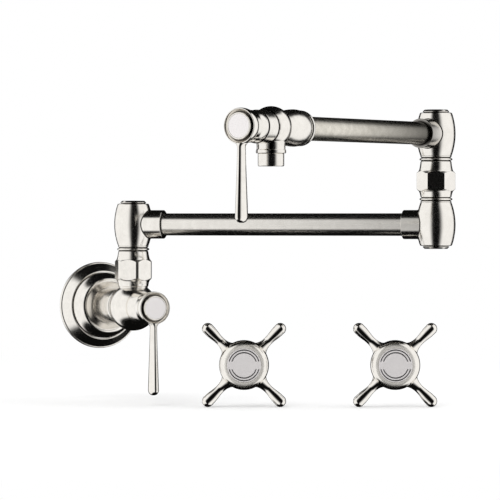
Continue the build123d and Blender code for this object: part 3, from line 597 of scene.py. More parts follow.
def ballWithRiser():
    # a half circle from the bottom pole, then a fillet that leaves the ball along its tangent
    ball, riser, foot = inletValve["ball"], inletValve["riser"], inletValve["riserFoot"]
    top, leave = inletValve["hexLow"], math.radians(inletValve["riserLeave"])
    start = (ball * math.sin(leave), ball * math.cos(leave))
    tangent = (-3.2 * math.cos(leave), 3.2 * math.sin(leave) * 1.3)
    profile = outline(
        arcRun((0, -ball), (ball, 0), (start[0] + 0.02, start[1]), 25, smooth),
        flareRun(start, tangent, (riser + 0.15, foot), (0.05, 2.2), 6, smooth),
        flareRun((riser + 0.25, foot + 1.0), (0.2, 1.5), (inletValve["riserTop"], top), (2.4, 1.9), 5, 0.15),
        edge(0, top),
    )
    return turnedGrid(profile, inletCentre, up, 144)


def bossOnBall():
    # the boss under the bonnet, with a fillet that leaves the ball along its tangent
    ball, boss, front = inletValve["ball"], inletValve["boss"], inletValve["seat"]
    leave = math.asin((boss + inletValve["bossSpread"]) / ball)
    start = (ball * math.sin(leave) + 0.02, ball * math.cos(leave))
    pull = 2.6 / ball
    tangent = (-ball * math.sin(leave) * pull * 0.5, ball * math.cos(leave) * pull)
    profile = outline(
        edge(0, start[1] - 3),
        edge(start[0] - 1, start[1] - 3, 0.3),
        edge(start[0] + 0.02, start[1] - 0.4, 0.5),
        flareRun(start, tangent, (boss, front - 0.9), (-1.0, 2.8), 6, 0.6),
        edge(boss, front - 0.35, 0.12),
        edge(boss - 0.25, front, 0.12),
        edge(0, front),
    )
    return turnedGrid(profile, inletCentre, outOfWall, 128)


def inletShank():
    # a plain sleeve from the wall into the ball, with the thread's wider bore at the wall
    reach = float(np.linalg.norm(inletCentre)) / mm
    waterway, thread, shank = inletValve["waterway"], inletValve["thread"], inletValve["shank"]
    depth = inletValve["threadDepth"]
    profile = outline(
        edge(0, reach - 12),
        edge(waterway, reach - 12),
        edge(waterway, depth),
        edge(thread, depth, 0.3),
        edge(thread, 0.05, 0.3),
        edge(shank, 0.05, 0.4),
        edge(shank, reach - 10),
        edge(0, reach - 10),
    )
    return turnedGrid(profile, wallCentre, outOfWall)


bonnet = {"front": 31.2, "stemHole": 6.1, "bulge": 0.35}


def bonnetGrid(centre, way, seat, backRadius, frontRadius, groove=0.0):
    # a slim barrel; with a groove the back edge stands off the boss by that much
    front, hole = bonnet["front"], bonnet["stemHole"]
    neckRadius = backRadius - (0.35 if groove == 0 else 0.9)
    middle = ((backRadius + frontRadius) / 2 + bonnet["bulge"], (seat + front) / 2)
    profile = outline(
        edge(hole, seat + 3),
        edge(hole, seat + 0.02),
        edge(neckRadius, seat + 0.02, 0.1),
        edge(neckRadius, seat + 0.02 + 0.8 * groove, 0.05),
        edge(backRadius, seat + 0.4 + groove, 0.15),
        arcRun((backRadius, seat + 0.8 + groove), middle, (frontRadius, front - 0.7), corner=0.5),
        edge(frontRadius - 0.55, front, 0.4),
        edge(hole, front, 0.3),
        edge(hole, seat + 3),
    )
    return turnedGrid(profile, centre, way, 128)


inletBody = [ballWithRiser(), bossOnBall(), inletShank()]
makePiece("inlet_body_shell", inletBody, turnedNickel, "wall_side", ["inlet_body"])
inletBonnet = bonnetGrid(
    inletCentre, outOfWall, inletValve["seat"], inletValve["bonnetBack"], inletValve["bonnetFront"]
)
makePiece("inlet_bonnet_shell", [inletBonnet], turnedNickel, "wall_side", ["inlet_bonnet"])
print("inlet valve made")

# swivel columns
column = {
    "below": 17.6,
    "above": 16.9,
    "neck": 12.35,
    "belly": 15.55,
    "shoulder": 12.78,
    "crown": 11.6,
    "cap": 10.5,
    "capHeight": 2.45,
    "capJoint": 0.55,
    "ring": 4.2,
    "ringBore": 9.2,
    "bead": 13.1,
    "beadPlace": 0.62,  # place of the bead along the ring
    "groove": 11.45,
    "hexFlats": 27.8,
    "hexCornerFlat": 15.4,
    "hexEnd": 14.0,
    "hexSharpness": 30.0,  # per mm
    "baseTurn": 19.5,  # degrees
    "elbowTurn": 32.2,
    "elbowHexStart": 0.179,  # share of the space between the elbow's two rings
    "elbowHexHeight": 0.54,
    "bellFoot": 13.9,
    "post": 8.95,
    "ringGap": 0.2,
}


def barrelGrid(centre, way):
    # an arc from the neck over the belly to the shoulder, closed by a rounded crown
    below, above, cap, shoulder = column["below"], column["above"], column["cap"], column["shoulder"]
    start = (column["neck"] + 0.12, -below + 0.35)
    profile = outline(
        edge(0, -below),
        edge(column["neck"], -below, 0.25),
        arcRun(start, (column["belly"], 0), (shoulder + 0.28, above - 1.25), 13, 0.6),
        edge(shoulder - 0.1, above - 0.25, 0.7),
        edge(column["crown"], above, 0.4),
        edge(cap + 0.35, above, 0.12),
        edge(cap + 0.02, above - 0.5, 0.1),
        edge(0, above - 0.5),
    )
    return turnedGrid(profile, centre, way, 144)


def capGrid(centre, way):
    # a low cone over a narrow joint
    cap, above, height = column["cap"], column["above"], column["capHeight"]
    joint = above + column["capJoint"]
    profile = outline(
        edge(0, above - 0.4),
        edge(cap - 0.5, above - 0.4, 0.1),
        edge(cap - 0.5, joint, 0.05),
        edge(cap, joint + 0.05, 0.08),
        edge(cap, joint + 0.4, 0.1),
        edge(cap - 1.4, above + height - 0.1, 0.25),
        edge(0, above + height + 0.02),
    )
    return turnedGrid(profile, centre, way, 112)


def capShade(x, y, z):
    # painted shade: 1 on the narrow joint under the cap, which shows as a dark line
    inJoint = np.abs(y) < column["above"] + column["capJoint"] + 0.02
    return (inJoint & (np.hypot(x, z) < column["cap"] - 0.4)).astype(float)


def beadRingGrid(centre, way):
    # a plain ring with a half round bead between two grooves
    high, bore, groove, neckRadius = -column["below"], column["ringBore"], column["groove"], column["neck"]
    low, bead = high - column["ring"], high - column["beadPlace"] * column["ring"]
    foot = neckRadius - 0.3
    profile = outline(
        edge(bore, bead),
        edge(bore, low),
        edge(neckRadius - 0.05, low, 0.15),
        edge(neckRadius - 0.05, bead - 1.75, 0.12),
        edge(groove, bead - 1.3, 0.12),
        arcRun((foot, bead - 0.88), (column["bead"], bead), (foot, bead + 0.88), 7, 0.15),
        edge(groove, bead + 1.3, 0.12),
        edge(neckRadius - 0.05, bead + 1.75, 0.12),
        edge(neckRadius, high - 0.1, 0.15),
        edge(bore, high - 0.1),
        edge(bore, bead),
    )
    return turnedGrid(profile, centre, way, 128)


def ringShade(x, y, z):
    # painted shade: 1 where the ring is cut below its own neck, which darkens the grooves
    return (np.hypot(x, z) < column["neck"] - 0.22).astype(float)


def hexGrid(axis, low, high, turned, segments=576):
    # radius(t, z) is the nearest of six flats, six narrow corner flats and the two cones that cut the
    # ends; a flat is its distance / cos(t to its middle), and the nearest is a soft minimum
    flat, cut, sharp = column["hexFlats"] / 2, column["hexCornerFlat"], column["hexSharpness"]
    corner = flat / math.cos(math.radians(30))
    t = np.linspace(0, 2 * np.pi, segments + 1)
    sixth, twelfth = math.radians(60), math.radians(30)
    toFlat = np.mod(t - math.radians(turned), sixth) - twelfth
    toCorner = np.mod(t - math.radians(turned) + twelfth, sixth) - twelfth
    z = low + (high - low) * (0.5 - 0.5 * np.cos(np.linspace(0, np.pi, 72)))
    cone = column["hexEnd"] + np.minimum(z - low, high - z)
    sides = (flat / np.cos(toFlat))[None, :], (cut / np.cos(toCorner))[None, :], cone[:, None]
    stack = np.stack(np.broadcast_arrays(*sides))
    radius = -np.log(np.exp(-sharp * (stack - flat)).sum(axis=0)) / sharp + flat
    ring = np.stack([np.cos(t), np.sin(t), 0 * t], axis=-1)
    centre = np.array([axis[0], axis[1], 0.0])
    points = centre + radius[..., None] * mm * ring[None] + z[:, None, None] * mm * up
    bottom, top = (np.broadcast_to(centre + end * mm * up, points[:1].shape) for end in (low, high))
    points = np.concatenate([bottom, points, top])
    rows = np.concatenate([[low - corner], z, [high + corner]]) * mm
    surface = np.stack(np.broadcast_arrays((t * corner * mm)[None, :], rows[:, None]), axis=-1)
    return points, surface


def bellGrid(axis, hexLow, bellLow, bellTop):
    # a hollow flare from the hex up to the ring
    foot, neckRadius, post = column["bellFoot"], column["neck"], column["post"]
    profile = outline(
        edge(0, hexLow + 1),
        edge(9, hexLow + 1),
        edge(foot, bellLow - 0.5),
        flareRun((foot, bellLow + 0.05), (-2.4, 2.4), (neckRadius, bellTop - 0.35), (0, 3.5), 9, 0.25),
        edge(neckRadius - 0.2, bellTop, 0.12),
        edge(post, bellTop),
        edge(post, bellTop + 0.4),
        edge(0, bellTop + 0.4),
    )
    return turnedGrid(profile, (axis[0], axis[1], 0), up, 128)


def skirtGrid(axis, hexLow, skirtLow):
    # the elbow's second flare, from the lower ring up to the hex
    foot, neckRadius = column["bellFoot"], column["neck"]
    profile = outline(
        edge(0, skirtLow),
        edge(neckRadius - 0.2, skirtLow, 0.12),
        flareRun((neckRadius, skirtLow + 0.3), (0, 2.6), (foot, hexLow + 0.05), (2.4, 2.4), 7),
        edge(9, hexLow + 1.2),
        edge(0, hexLow + 1.2),
    )
    return turnedGrid(profile, (axis[0], axis[1], 0), up, 128)


centreLow, centreHigh = lowerTubeHeight / mm, upperTubeHeight / mm
ringEnd = column["below"] + column["ring"]
hexLow, hexHigh = inletValve["hexLow"], inletValve["hexHigh"]
baseFitting = [
    hexGrid(baseAxis, hexLow, hexHigh, column["baseTurn"]),
    bellGrid(baseAxis, hexLow, hexHigh, centreLow - ringEnd - column["ringGap"]),
]
makePiece("base_fitting_shell", baseFitting, turnedNickel, "wall_side", ["base_swivel_fitting"])
space = centreHigh - centreLow - 2 * ringEnd
hexLow = centreLow + ringEnd + column["elbowHexStart"] * space
hexHigh = hexLow + column["elbowHexHeight"] * space
elbowFitting = [
    hexGrid(elbowAxis, hexLow, hexHigh, column["elbowTurn"]),
    bellGrid(elbowAxis, hexLow, hexHigh, centreHigh - ringEnd - column["ringGap"]),
    skirtGrid(elbowAxis, hexLow, centreLow + ringEnd),
]
makePiece("elbow_fitting_shell", elbowFitting, turnedNickel, "lower_arm", ["elbow_swivel_fitting"])
columnParts = (
    ("base_ring_shell", beadRingGrid, ringShade, innerCentre, up, "lower_arm", "base_swivel_ring"),
    ("elbow_low_ring_shell", beadRingGrid, ringShade, elbowLowCentre, -up, "lower_arm", "elbow_bead_ring"),
    ("elbow_high_ring_shell", beadRingGrid, ringShade, elbowHighCentre, up, "upper_arm", "elbow_swivel_ring"),
    ("inner_barrel_shell", barrelGrid, None, innerCentre, up, "lower_arm", "inner_barrel"),
    ("elbow_barrel_shell", barrelGrid, None, elbowLowCentre, -up, "lower_arm", "elbow_barrel"),
    ("upper_barrel_shell", barrelGrid, None, elbowHighCentre, up, "upper_arm", "upper_barrel"),
    ("inner_cap_shell", capGrid, capShade, innerCentre, up, "lower_arm", "inner_barrel_cap"),
    ("elbow_cap_shell", capGrid, capShade, elbowLowCentre, -up, "lower_arm", "elbow_barrel_cap"),
    ("upper_cap_shell", capGrid, capShade, elbowHighCentre, up, "upper_arm", "upper_barrel_cap"),
)
for name, grid, shade, centre, way, body, replaced in columnParts:
    piece = makePiece(name, [grid(centre, way)], shadedGrooveNickel if shade else turnedNickel, body, [replaced])
    if shade:
        markMesh(piece, "shade", centre, outOfWall, shade)
print("swivel columns made")

# arms
arm = {
    "tube": 9.0,
    "wall": 1.2,
    "tubeStart": 12.5,
    "collar": 11.6,
    "collarStart": 8.8,
    "collarEnd": 26.3,
    "jointBead": 0.4,
    "barrelFall": 0.01,  # the barrel's radius falls by this times the height squared, in mm
    "couplingSeat": 30.0,
    "reflectionShadeReach": 155,  # how far from the elbow the painted reflection of the dark column reaches on the upper tube
}


def collarGrid(centre, way):
    # a plain sleeve round the tube
    collar, tube, start, end = arm["collar"], arm["tube"], arm["collarStart"], arm["collarEnd"]
    profile = outline(
        edge(0, start),
        edge(collar - 0.4, start),
        edge(collar, start + 0.4),
        edge(collar, end - 0.2, 0.08),
        edge(collar - 0.2, end, 0.08),
        edge(tube + 0.25, end, 0.12),
        edge(tube + 0.05, end - 0.4, 0.1),
        edge(0, end - 0.4),
    )
    return turnedGrid(profile, centre, way, 112)


def collarJoint(centre, way):
    # a thin bead along the line where the collar meets the barrel, whose radius at height c sin t is R:
    # there its distance along the arm is sqrt(R^2 - (c cos t)^2)
    # the bead carries a painted shade line along the crease between the collar and the barrel
    radius, bead = arm["collar"], arm["jointBead"]
    side = np.cross(up, way)
    t, u = np.meshgrid(np.linspace(0, 2 * np.pi, 145), np.linspace(0, 2 * np.pi, 13))
    barrel = column["belly"] - arm["barrelFall"] * (radius * np.sin(t)) ** 2
    out = np.sqrt(barrel**2 - (radius * np.cos(t)) ** 2) + bead * np.cos(u)
    around = radius + 0.1 + bead * np.sin(u)
    points = (
        np.asarray(centre)
        + out[..., None] * mm * way
        + (around * np.cos(t))[..., None] * mm * side
        + (around * np.sin(t))[..., None] * mm * up
    )
    return points, np.stack([t * radius * mm, u * bead * mm], axis=-1)


def collarShade(x, y, z):
    # painted shade: 1 on the bead at the barrel and on the end face round the tube
    onEnd = (z > arm["collarEnd"] - 0.5) & (np.hypot(x, y) < arm["collar"] - 0.35)
    onBead = (z > arm["collarStart"] + 0.7) & (z < 16)
    return (onEnd | onBead).astype(float)


def upperCollarShade(x, y, z):
    # painted shade in the joints as on the others, and a painted shade on the outside that grows towards the tube
    return np.maximum(collarShade(x, y, z), np.clip(0.2 + 0.03 * (z - 12), 0, 0.65))


def upperTubeShade(x, y, z):
    # painted reflection: the upper tube is painted darker towards the elbow, where it reflects the dark column
    return np.clip(1.15 * (1 - z / arm["reflectionShadeReach"]), 0, 1)


def tubeGrid(centre, way, near, far):
    # a plain tube, with rings along its outside that carry the mark of the painted reflection on the upper tube
    inner, outer = arm["tube"] - arm["wall"], arm["tube"]
    profile = outline(
        edge(inner, (near + far) / 2),
        edge(inner, near),
        edge(outer, near),
        *[edge(outer, near + part * (far - near), 0) for part in np.linspace(0.1, 0.9, 9)],
        edge(outer, far),
        edge(inner, far),
        edge(inner, (near + far) / 2),
    )
    return turnedGrid(profile, centre, way, 144)


for name, centre, way, body, shade in (
    ("inner_collar", innerCentre, lowerArm, "lower_arm", collarShade),
    ("outer_collar", elbowLowCentre, -lowerArm, "lower_arm", collarShade),
    ("upper_collar", elbowHighCentre, upperArm, "upper_arm", upperCollarShade),
):
    grids = [collarGrid(centre, way), collarJoint(centre, way)]
    collar = makePiece(name + "_shell", grids, shadedGrooveNickel, body, [name])
    markMesh(collar, "shade", centre, way, shade)
lowerTube = tubeGrid(innerCentre, lowerArm, arm["tubeStart"], armLength - arm["tubeStart"])
makePiece("lower_tube_shell", [lowerTube], tubeNickel, "lower_arm", ["lower_tube"])
upperTube = tubeGrid(elbowHighCentre, upperArm, arm["tubeStart"], armLength - arm["couplingSeat"])
reflectionShadeTube = makePiece("upper_tube_shell", [upperTube], upperTubeNickel, "upper_arm", ["upper_tube"])
markMesh(reflectionShadeTube, "shade", elbowHighCentre, upperArm, upperTubeShade)
print("arms made")

# outlet valve
outletValve = {
    "ball": 15.45,
    "boss": 12.35,
    "bossFoot": 9.5,
    "bossJoint": 0.95,  # height of the joint under the boss, painted dark as shade
    "seat": 21.5,
    "bonnetBack": 11.85,
    "bonnetFront": 11.2,
    "bonnetGroove": 0.85,
    "couplingRun": (
        (12.2, 9.9),
        (12.5, 15.5),
        (13.1, 21.0),
        (13.7, 26.5),
        (13.95, 32.0),
        (13.6, 36.2),
        (12.75, 39.0),
    ),
    "couplingEnd": (12.2, 39.3),
    "couplingLip": (13.35, 43.4),
    "lipGap": 0.75,
    "nozzleLeave": 48,  # degrees from the bottom of the ball to the nozzle's fillet
    "nozzle": 10.6,
    "nozzleFoot": 14.4,
    "nozzleLip": 11.1,
    "nozzleEnd": 19.2,
    "thread": 8.7,
    "threadDepth": 6.5,
}


def outletBall():
    # the ball and its nozzle are one turned form about the nozzle's own line
    ball, nozzle, end = outletValve["ball"], outletValve["nozzle"], outletValve["nozzleEnd"]
    lip, thread, depth = (outletValve[key] for key in ("nozzleLip", "thread", "threadDepth"))
    leave = math.radians(outletValve["nozzleLeave"])
    start = (ball * math.sin(leave), ball * math.cos(leave))
    profile = outline(
        arcRun((0, -ball), (ball, 0), (start[0] + 0.02, start[1]), 23, smooth),
        flareRun(start, (-2.4, 2.0), (nozzle, outletValve["nozzleFoot"]), (0, 2.4), 6, 0.6),
        edge(nozzle, end - 2.9, 0.35),
        edge(lip, end - 2.3, 0.35),
        edge(lip, end - 0.3, 0.25),
        edge(lip - 0.35, end, 0.15),
        edge(thread, end, 0.2),
        edge(thread, end - depth, 0.2),
        edge(0, end - depth),
    )
    return turnedGrid(profile, outletCentre, -up, 144)


def outletBoss():
    # a plain step with a narrow joint, painted dark as shade, where it leaves the ball, at the radius
    # sqrt(ball^2 - joint^2)
    ball, boss, foot, seat = (outletValve[key] for key in ("ball", "boss", "bossFoot", "seat"))
    joint = foot - outletValve["bossJoint"]
    ballRadius = math.sqrt(ball**2 - joint**2)
    profile = outline(
        edge(0, foot - 3),
        edge(boss - 1.1, foot - 3),
        edge(ballRadius - 0.4, joint - 0.1, 0.05),
        edge(ballRadius + 0.05, joint, 0.05),
        edge(boss - 0.03, foot, 0.05),
        edge(boss, foot + 0.12, 0.05),
        edge(boss, seat - 0.35, 0.12),
        edge(boss - 0.25, seat, 0.1),
        edge(boss - 1.2, seat, 0.1),
        edge(0, seat),
    )
    return turnedGrid(profile, outletCentre, upperArm, 128)


def bossShade(x, y, z):
    # painted shade: 1 on the joint at the boss's foot and on its front face
    foot = outletValve["bossFoot"]
    inJoint = (z < foot + 0.08) & (z > foot - outletValve["bossJoint"] - 0.1)
    inJoint &= np.hypot(x, y) > outletValve["boss"] - 0.5
    inJoint &= np.sqrt(x**2 + y**2 + z**2) > outletValve["ball"] - 0.35
    return (inJoint | (z > outletValve["seat"] - 0.05)).astype(float)


def bonnetShade(x, y, z):
    # painted shade: 1 in the groove between the boss and the bonnet
    seat, back = outletValve["seat"], outletValve["bonnetBack"]
    return ((z < seat + 0.8) & (np.hypot(x, y) < back - 0.55)).astype(float)


def couplingGrid():
    # its front end sits in the ball, its far end stops at a narrow groove before the lip
    run, end = np.array(outletValve["couplingRun"]), outletValve["couplingEnd"]
    rounding = np.full((len(run), 1), smooth)
    rounding[-1] = 0.15
    profile = outline(
        edge(0, run[0, 1] - 3),
        edge(run[0, 0] - 0.1, run[0, 1] - 3),
        np.hstack([run, rounding]),
        edge(end[0], end[1], 0.1),
        edge(end[0], end[1] + 1.2),
        edge(0, end[1] + 1.2),
    )
    return turnedGrid(profile, outletCentre, -upperArm, 128)


def couplingLip():
    # a half round ring behind the groove
    lip, end, tube = outletValve["couplingLip"], outletValve["couplingEnd"], arm["tube"]
    start = end[1] + outletValve["lipGap"]
    middle = (start + lip[1]) / 2
    bead = (end[0] + 0.35, start + 0.15), (lip[0], middle - 0.1), (end[0] + 0.3, lip[1] - 0.3)
    profile = outline(
        edge(tube + 0.05, middle),
        edge(tube + 0.05, start),
        edge(end[0] + 0.1, start, 0.12),
        arcRun(*bead),
        edge(end[0] - 0.4, lip[1], 0.2),
        edge(tube + 0.3, lip[1], 0.15),
        edge(tube + 0.05, middle),
    )
    return turnedGrid(profile, outletCentre, -upperArm, 128)


def couplingShade(x, y, z):
    # painted shade: 1 in the groove before the lip
    run, end = outletValve["couplingRun"], outletValve["couplingEnd"]
    return ((-z > run[-1][1] + 0.1) & (np.hypot(x, y) < end[0] + 0.3)).astype(float)


outletBonnet = bonnetGrid(
    outletCentre,
    upperArm,
    outletValve["seat"],
    outletValve["bonnetBack"],
    outletValve["bonnetFront"],
    outletValve["bonnetGroove"],
)
for name, grids, shade, replaced in (
    ("outlet_body_shell", [outletBall(), outletBoss()], bossShade, "outlet_body"),
    ("outlet_bonnet_shell", [outletBonnet], bonnetShade, "outlet_bonnet"),
    ("coupling_shell", [couplingGrid()], couplingShade, "outlet_coupling"),
):
    piece = makePiece(name, grids, shadedGrooveNickel, "upper_arm", [replaced])
    markMesh(piece, "shade", outletCentre, upperArm, shade)
makePiece("coupling_lip_shell", [couplingLip()], turnedNickel, "upper_arm", ["coupling_lip_ring"])

aerator = {"radius": 9.7, "top": 19.25, "end": 28.8, "bore": 8.3, "step": 0.7, "recess": 4.5, "tail": 4}


def aeratorGrid():
    # a short tube with a narrower tail in the nozzle's thread and a wider mouth at its end
    radius, top, end, bore = (aerator[key] for key in ("radius", "top", "end", "bore"))
    inner, floor, low = bore - aerator["step"], end - aerator["recess"], top - aerator["tail"]
    thread = outletValve["thread"] - 0.1
    profile = outline(
        edge(inner, top + 2),
        edge(inner, low),
        edge(thread, low),
        edge(thread, top, 0.1),
        edge(radius - 0.3, top, 0.15),
        edge(radius, top + 0.5, 0.25),
        edge(radius, end - 0.6, 0.4),
        edge(radius - 0.5, end, 0.3),
        edge(bore, end, 0.2),
        edge(bore, floor, 0.1),
        edge(inner, floor, 0.1),
        edge(inner, top + 2),
    )
    return turnedGrid(profile, outletCentre, -up, 128)


makePiece("aerator_shell", [aeratorGrid()], turnedNickel, "upper_arm", ["aerator_housing"])
print("outlet valve made")

# levers
lever = {
    "hubBack": 31.7,
    "hubBackRadius": 12.0,
    "hub": 13.25,
    "rimBack": 37.4,
    "front": 45.0,
    "recess": 12.15,
    "recessDepth": 1.4,
    "grooveDepth": 1.7,
    "grooveOuter": 10.9,
    "button": 9.95,
    "face": 8.9,
    "buttonProud": 0.7,
    "rodOffset": 41.4,
    "rodLength": 70.3,
    "rodWidths": (  # distance below the hub's middle and half width
        (12.2, 4.6),
        (15.5, 2.52),
        (18.0, 2.54),
        (30.0, 2.8),
        (44.0, 3.18),
        (56.0, 3.6),
        (65.9, 3.85),
    ),
    "rodRoot": 1.5,  # how fast the wide root dies out
    "rodOval": 1.72,
    "rodDepthLimit": 4.35,
    "rodDepthStart": 15,
    "rodDepthGrowth": 0.06,
    "tipBluntness": 0.86,
}


def hubGrid(centre, way):
    # a short drum that widens to a rounded rim round a recessed floor
    hub, back, front, rimBack = lever["hub"], lever["hubBack"], lever["front"], lever["rimBack"]
    backRadius, recess, button = lever["hubBackRadius"], lever["recess"], lever["button"]
    floor, groove = front - lever["recessDepth"], front - lever["grooveDepth"]
    rim = (hub - 0.45, rimBack + 0.7), (hub, (rimBack + front) / 2), (hub - 0.1, front - 0.9)
    lip = (hub - 0.12, front - 0.6), ((hub + recess) / 2, front), (recess + 0.02, front - 0.55)
    profile = outline(
        edge(0, back),
        edge(backRadius - 0.25, back, 0.1),
        edge(backRadius, back + 0.25, 0.1),
        edge(backRadius + 0.25, rimBack, 0.4),
        arcRun(*rim, 7, 0.4),
        arcRun(*lip),
        edge(lever["grooveOuter"], groove, 0.15),
        edge(button - 0.3, groove, 0.1),
        edge(button - 0.3, floor, 0.1),
        edge(0, floor),
    )
    return turnedGrid(profile, centre, way, 144)


def buttonEdge(centre, way):
    # the polished ring round the button's satin face, standing up from the groove
    button, face = lever["button"], lever["face"]
    back, front = lever["front"] - lever["grooveDepth"] - 0.3, lever["front"] + lever["buttonProud"]
    profile = outline(
        edge(face - 0.3, (back + front) / 2),
        edge(face - 0.3, back),
        edge(button, back, 0.1),
        edge(button, front - 0.5, 0.2),
        edge(button - 0.3, front, 0.15),
        edge(face + 0.02, front - 0.02, 0.1),
        edge(face - 0.05, front - 0.3, 0.05),
        edge(face - 0.3, front - 0.3, 0.05),
        edge(face - 0.3, (back + front) / 2),
    )
    return turnedGrid(profile, centre, way, 128)


def grooveShade(x, y, z):
    # painted shade: 1 on the groove's floor and on the button's side, 0 on the rim's inner slope
    r = np.hypot(x, y)
    inGroove = (r < lever["grooveOuter"] + 0.02) & (r > lever["button"] - 0.6)
    return (inGroove & (z < lever["front"] - 0.1) & (z > lever["rimBack"])).astype(float)


def buttonGrid(centre, way):
    # a flat satin disc with a softened edge
    side = lever["face"] - 0.05
    back, front = lever["front"] - lever["grooveDepth"] + 0.05, lever["front"] + lever["buttonProud"]
    profile = outline(
        edge(0, back),
        edge(side, back, 0.1),
        edge(side, front - 0.25, 0.08),
        edge(side - 0.2, front - 0.12, 0.1),
        edge(0, front - 0.12),
    )
    return turnedGrid(profile, centre, way, 128)


def rodGrid(centre, way):
    # point(s, t) = top - up * s + across * w(s) cos t + way * d(s) sin t, where the half width w runs
    # smoothly through the lever's widths to a quarter oval at the tip, and the half depth d is
    # oval * w up to a limit that grows down the rod
    top = np.asarray(centre) + lever["rodOffset"] * mm * np.asarray(way)
    length, stations = lever["rodLength"], np.array(lever["rodWidths"])
    (rootStart, rootWidth), (tipStart, tipWidth) = stations[0], stations[-1]
    fit = np.polyfit(stations[2:, 0], stations[2:, 1], 3)
    body = np.linspace(rootStart, tipStart, 60)
    root = np.exp(-((body - rootStart) / lever["rodRoot"]) ** 2)
    width = np.polyval(fit, body) * (1 - root) + root * rootWidth
    turn = np.linspace(0, np.pi / 2, 16)[1:]
    tipLow = tipStart + (length - tipStart) * np.sin(turn)
    tipWidths = np.polyval(fit, tipStart) * np.clip(np.cos(turn), 0, 1) ** lever["tipBluntness"]
    s = np.concatenate([[body[0]], body, tipLow])
    w = np.concatenate([[0], width, tipWidths])
    limit = lever["rodDepthLimit"] + lever["rodDepthGrowth"] * np.clip(s - lever["rodDepthStart"], 0, None)
    depth = np.minimum(w * lever["rodOval"], limit)
    across = np.cross(up, way)
    t = np.linspace(0, 2 * np.pi, 129)
    points = (
        top
        - s[:, None, None] * mm * up
        + w[:, None, None] * mm * np.cos(t)[None, :, None] * across
        + depth[:, None, None] * mm * np.sin(t)[None, :, None] * np.asarray(way)
    )
    surface = np.stack(np.broadcast_arrays((t * tipWidth * mm)[None, :], (s * mm)[:, None]), axis=-1)
    return points, surface


for valve, centre, way in (("inlet", inletCentre, outOfWall), ("outlet", outletCentre, upperArm)):
    body = valve + "_lever"
    hubGrids = [hubGrid(centre, way), buttonEdge(centre, way)]
    hub = makePiece(valve + "_hub_shell", hubGrids, hubNickel, body, [body + "_hub"])
    markMesh(hub, "shade", centre, way, grooveShade)
    button = [buttonGrid(centre, way)]
    makePiece(valve + "_button_shell", button, discSatin, body, [body + "_button"])
    rod = [rodGrid(centre, way)]
    makePiece(valve + "_rod_shell", rod, polishedNickel, body, [body + "_rod"])
print("levers made")

# spare cross handles
cross = {
    "facing": 24.8,  # degrees from straight out of the wall
    "hub": 19.9,
    "face": 13.6,
    "faceHeight": 9.0,
    "crown": 6.0,
    "crownBend": 0.2929,  # 1 - cos 45 degrees
    "satinReach": 16.1,
    "satinFade": 0.5,
    "satinBack": 4,  # the satin stays in front of this height
    "back": 10.5,
    "backDepth": 10.0,
    "discProud": 0.5,
    "discThickness": 1.6,
    "armAngles": (45, 135, 225, 315),
    "armReach": 45.6,
    "armTip": 4.7,
    "armRun": (  # distance from the hub's middle and half width
        (17.5, 7.7),
        (19.0, 6.0),
        (20.7, 4.95),
        (24.0, 3.85),
        (27.5, 3.5),
        (31.8, 3.95),
        (35.8, 4.42),
        (39.0, 4.66),
        (40.9, 4.7),
    ),
    "armRoot": (12, 8.8),  # start and half width inside the hub
    "armMiddle": 28,
    "armWaist": 27.0,
    "armBlend": 10,  # length over which the root's depth dies out
    "armDepth": 2.7,  # half depth at the waist
    "armRootDepth": 2.3,  # what the root adds to it
    "armDepthGrowth": 0.11,
    "socket": 5.95,
    "arcs": (12.2, 10.1),  # middle radii of the two engraved lines
    "arcWidth": 1.0,
    "arcDepth": 0.32,
    "arcGap": 3.0,
    "arcEnd": 0.09,  # softness of a line's end
}
facing = math.radians(cross["facing"])
crossFacing = np.array([-math.sin(facing), -math.cos(facing), 0.0])
crossAcross = np.cross(up, crossFacing)


def crossHub(centre):
    # a bowl behind, a short wall, and a quarter round crown up to the disc's seat
    height, depth, crown, hub = (cross[key] for key in ("faceHeight", "backDepth", "crown", "hub"))
    socket, back, face = cross["socket"], cross["back"], cross["face"]
    bend = cross["crownBend"] * crown
    profile = outline(
        edge(socket, -4),
        edge(socket, -depth + 0.02, 0.2),
        edge(back, -depth, 0.5),
        flareRun((back + 0.2, -depth + 0.8), (0.2, 4), (hub - 0.5, -1.6), (1.6, 3.6), 8, 0.8),
        arcRun((hub - 0.1, -0.9), (hub, 0.4), (hub, height - crown - 0.6), 5, 0.6),
        arcRun((hub, height - crown), (hub - bend, height - bend), (hub - crown, height), 13, 0.3),
        edge(face + 0.2, height, 0.1),
        edge(face + 0.1, height - 0.12, 0.1),
        edge(face + 0.05, height - 1.0, 0.1),
        edge(socket, height - 1.0, 0.1),
        edge(socket, -4),
    )
    return turnedGrid(profile, centre, crossFacing, 160)


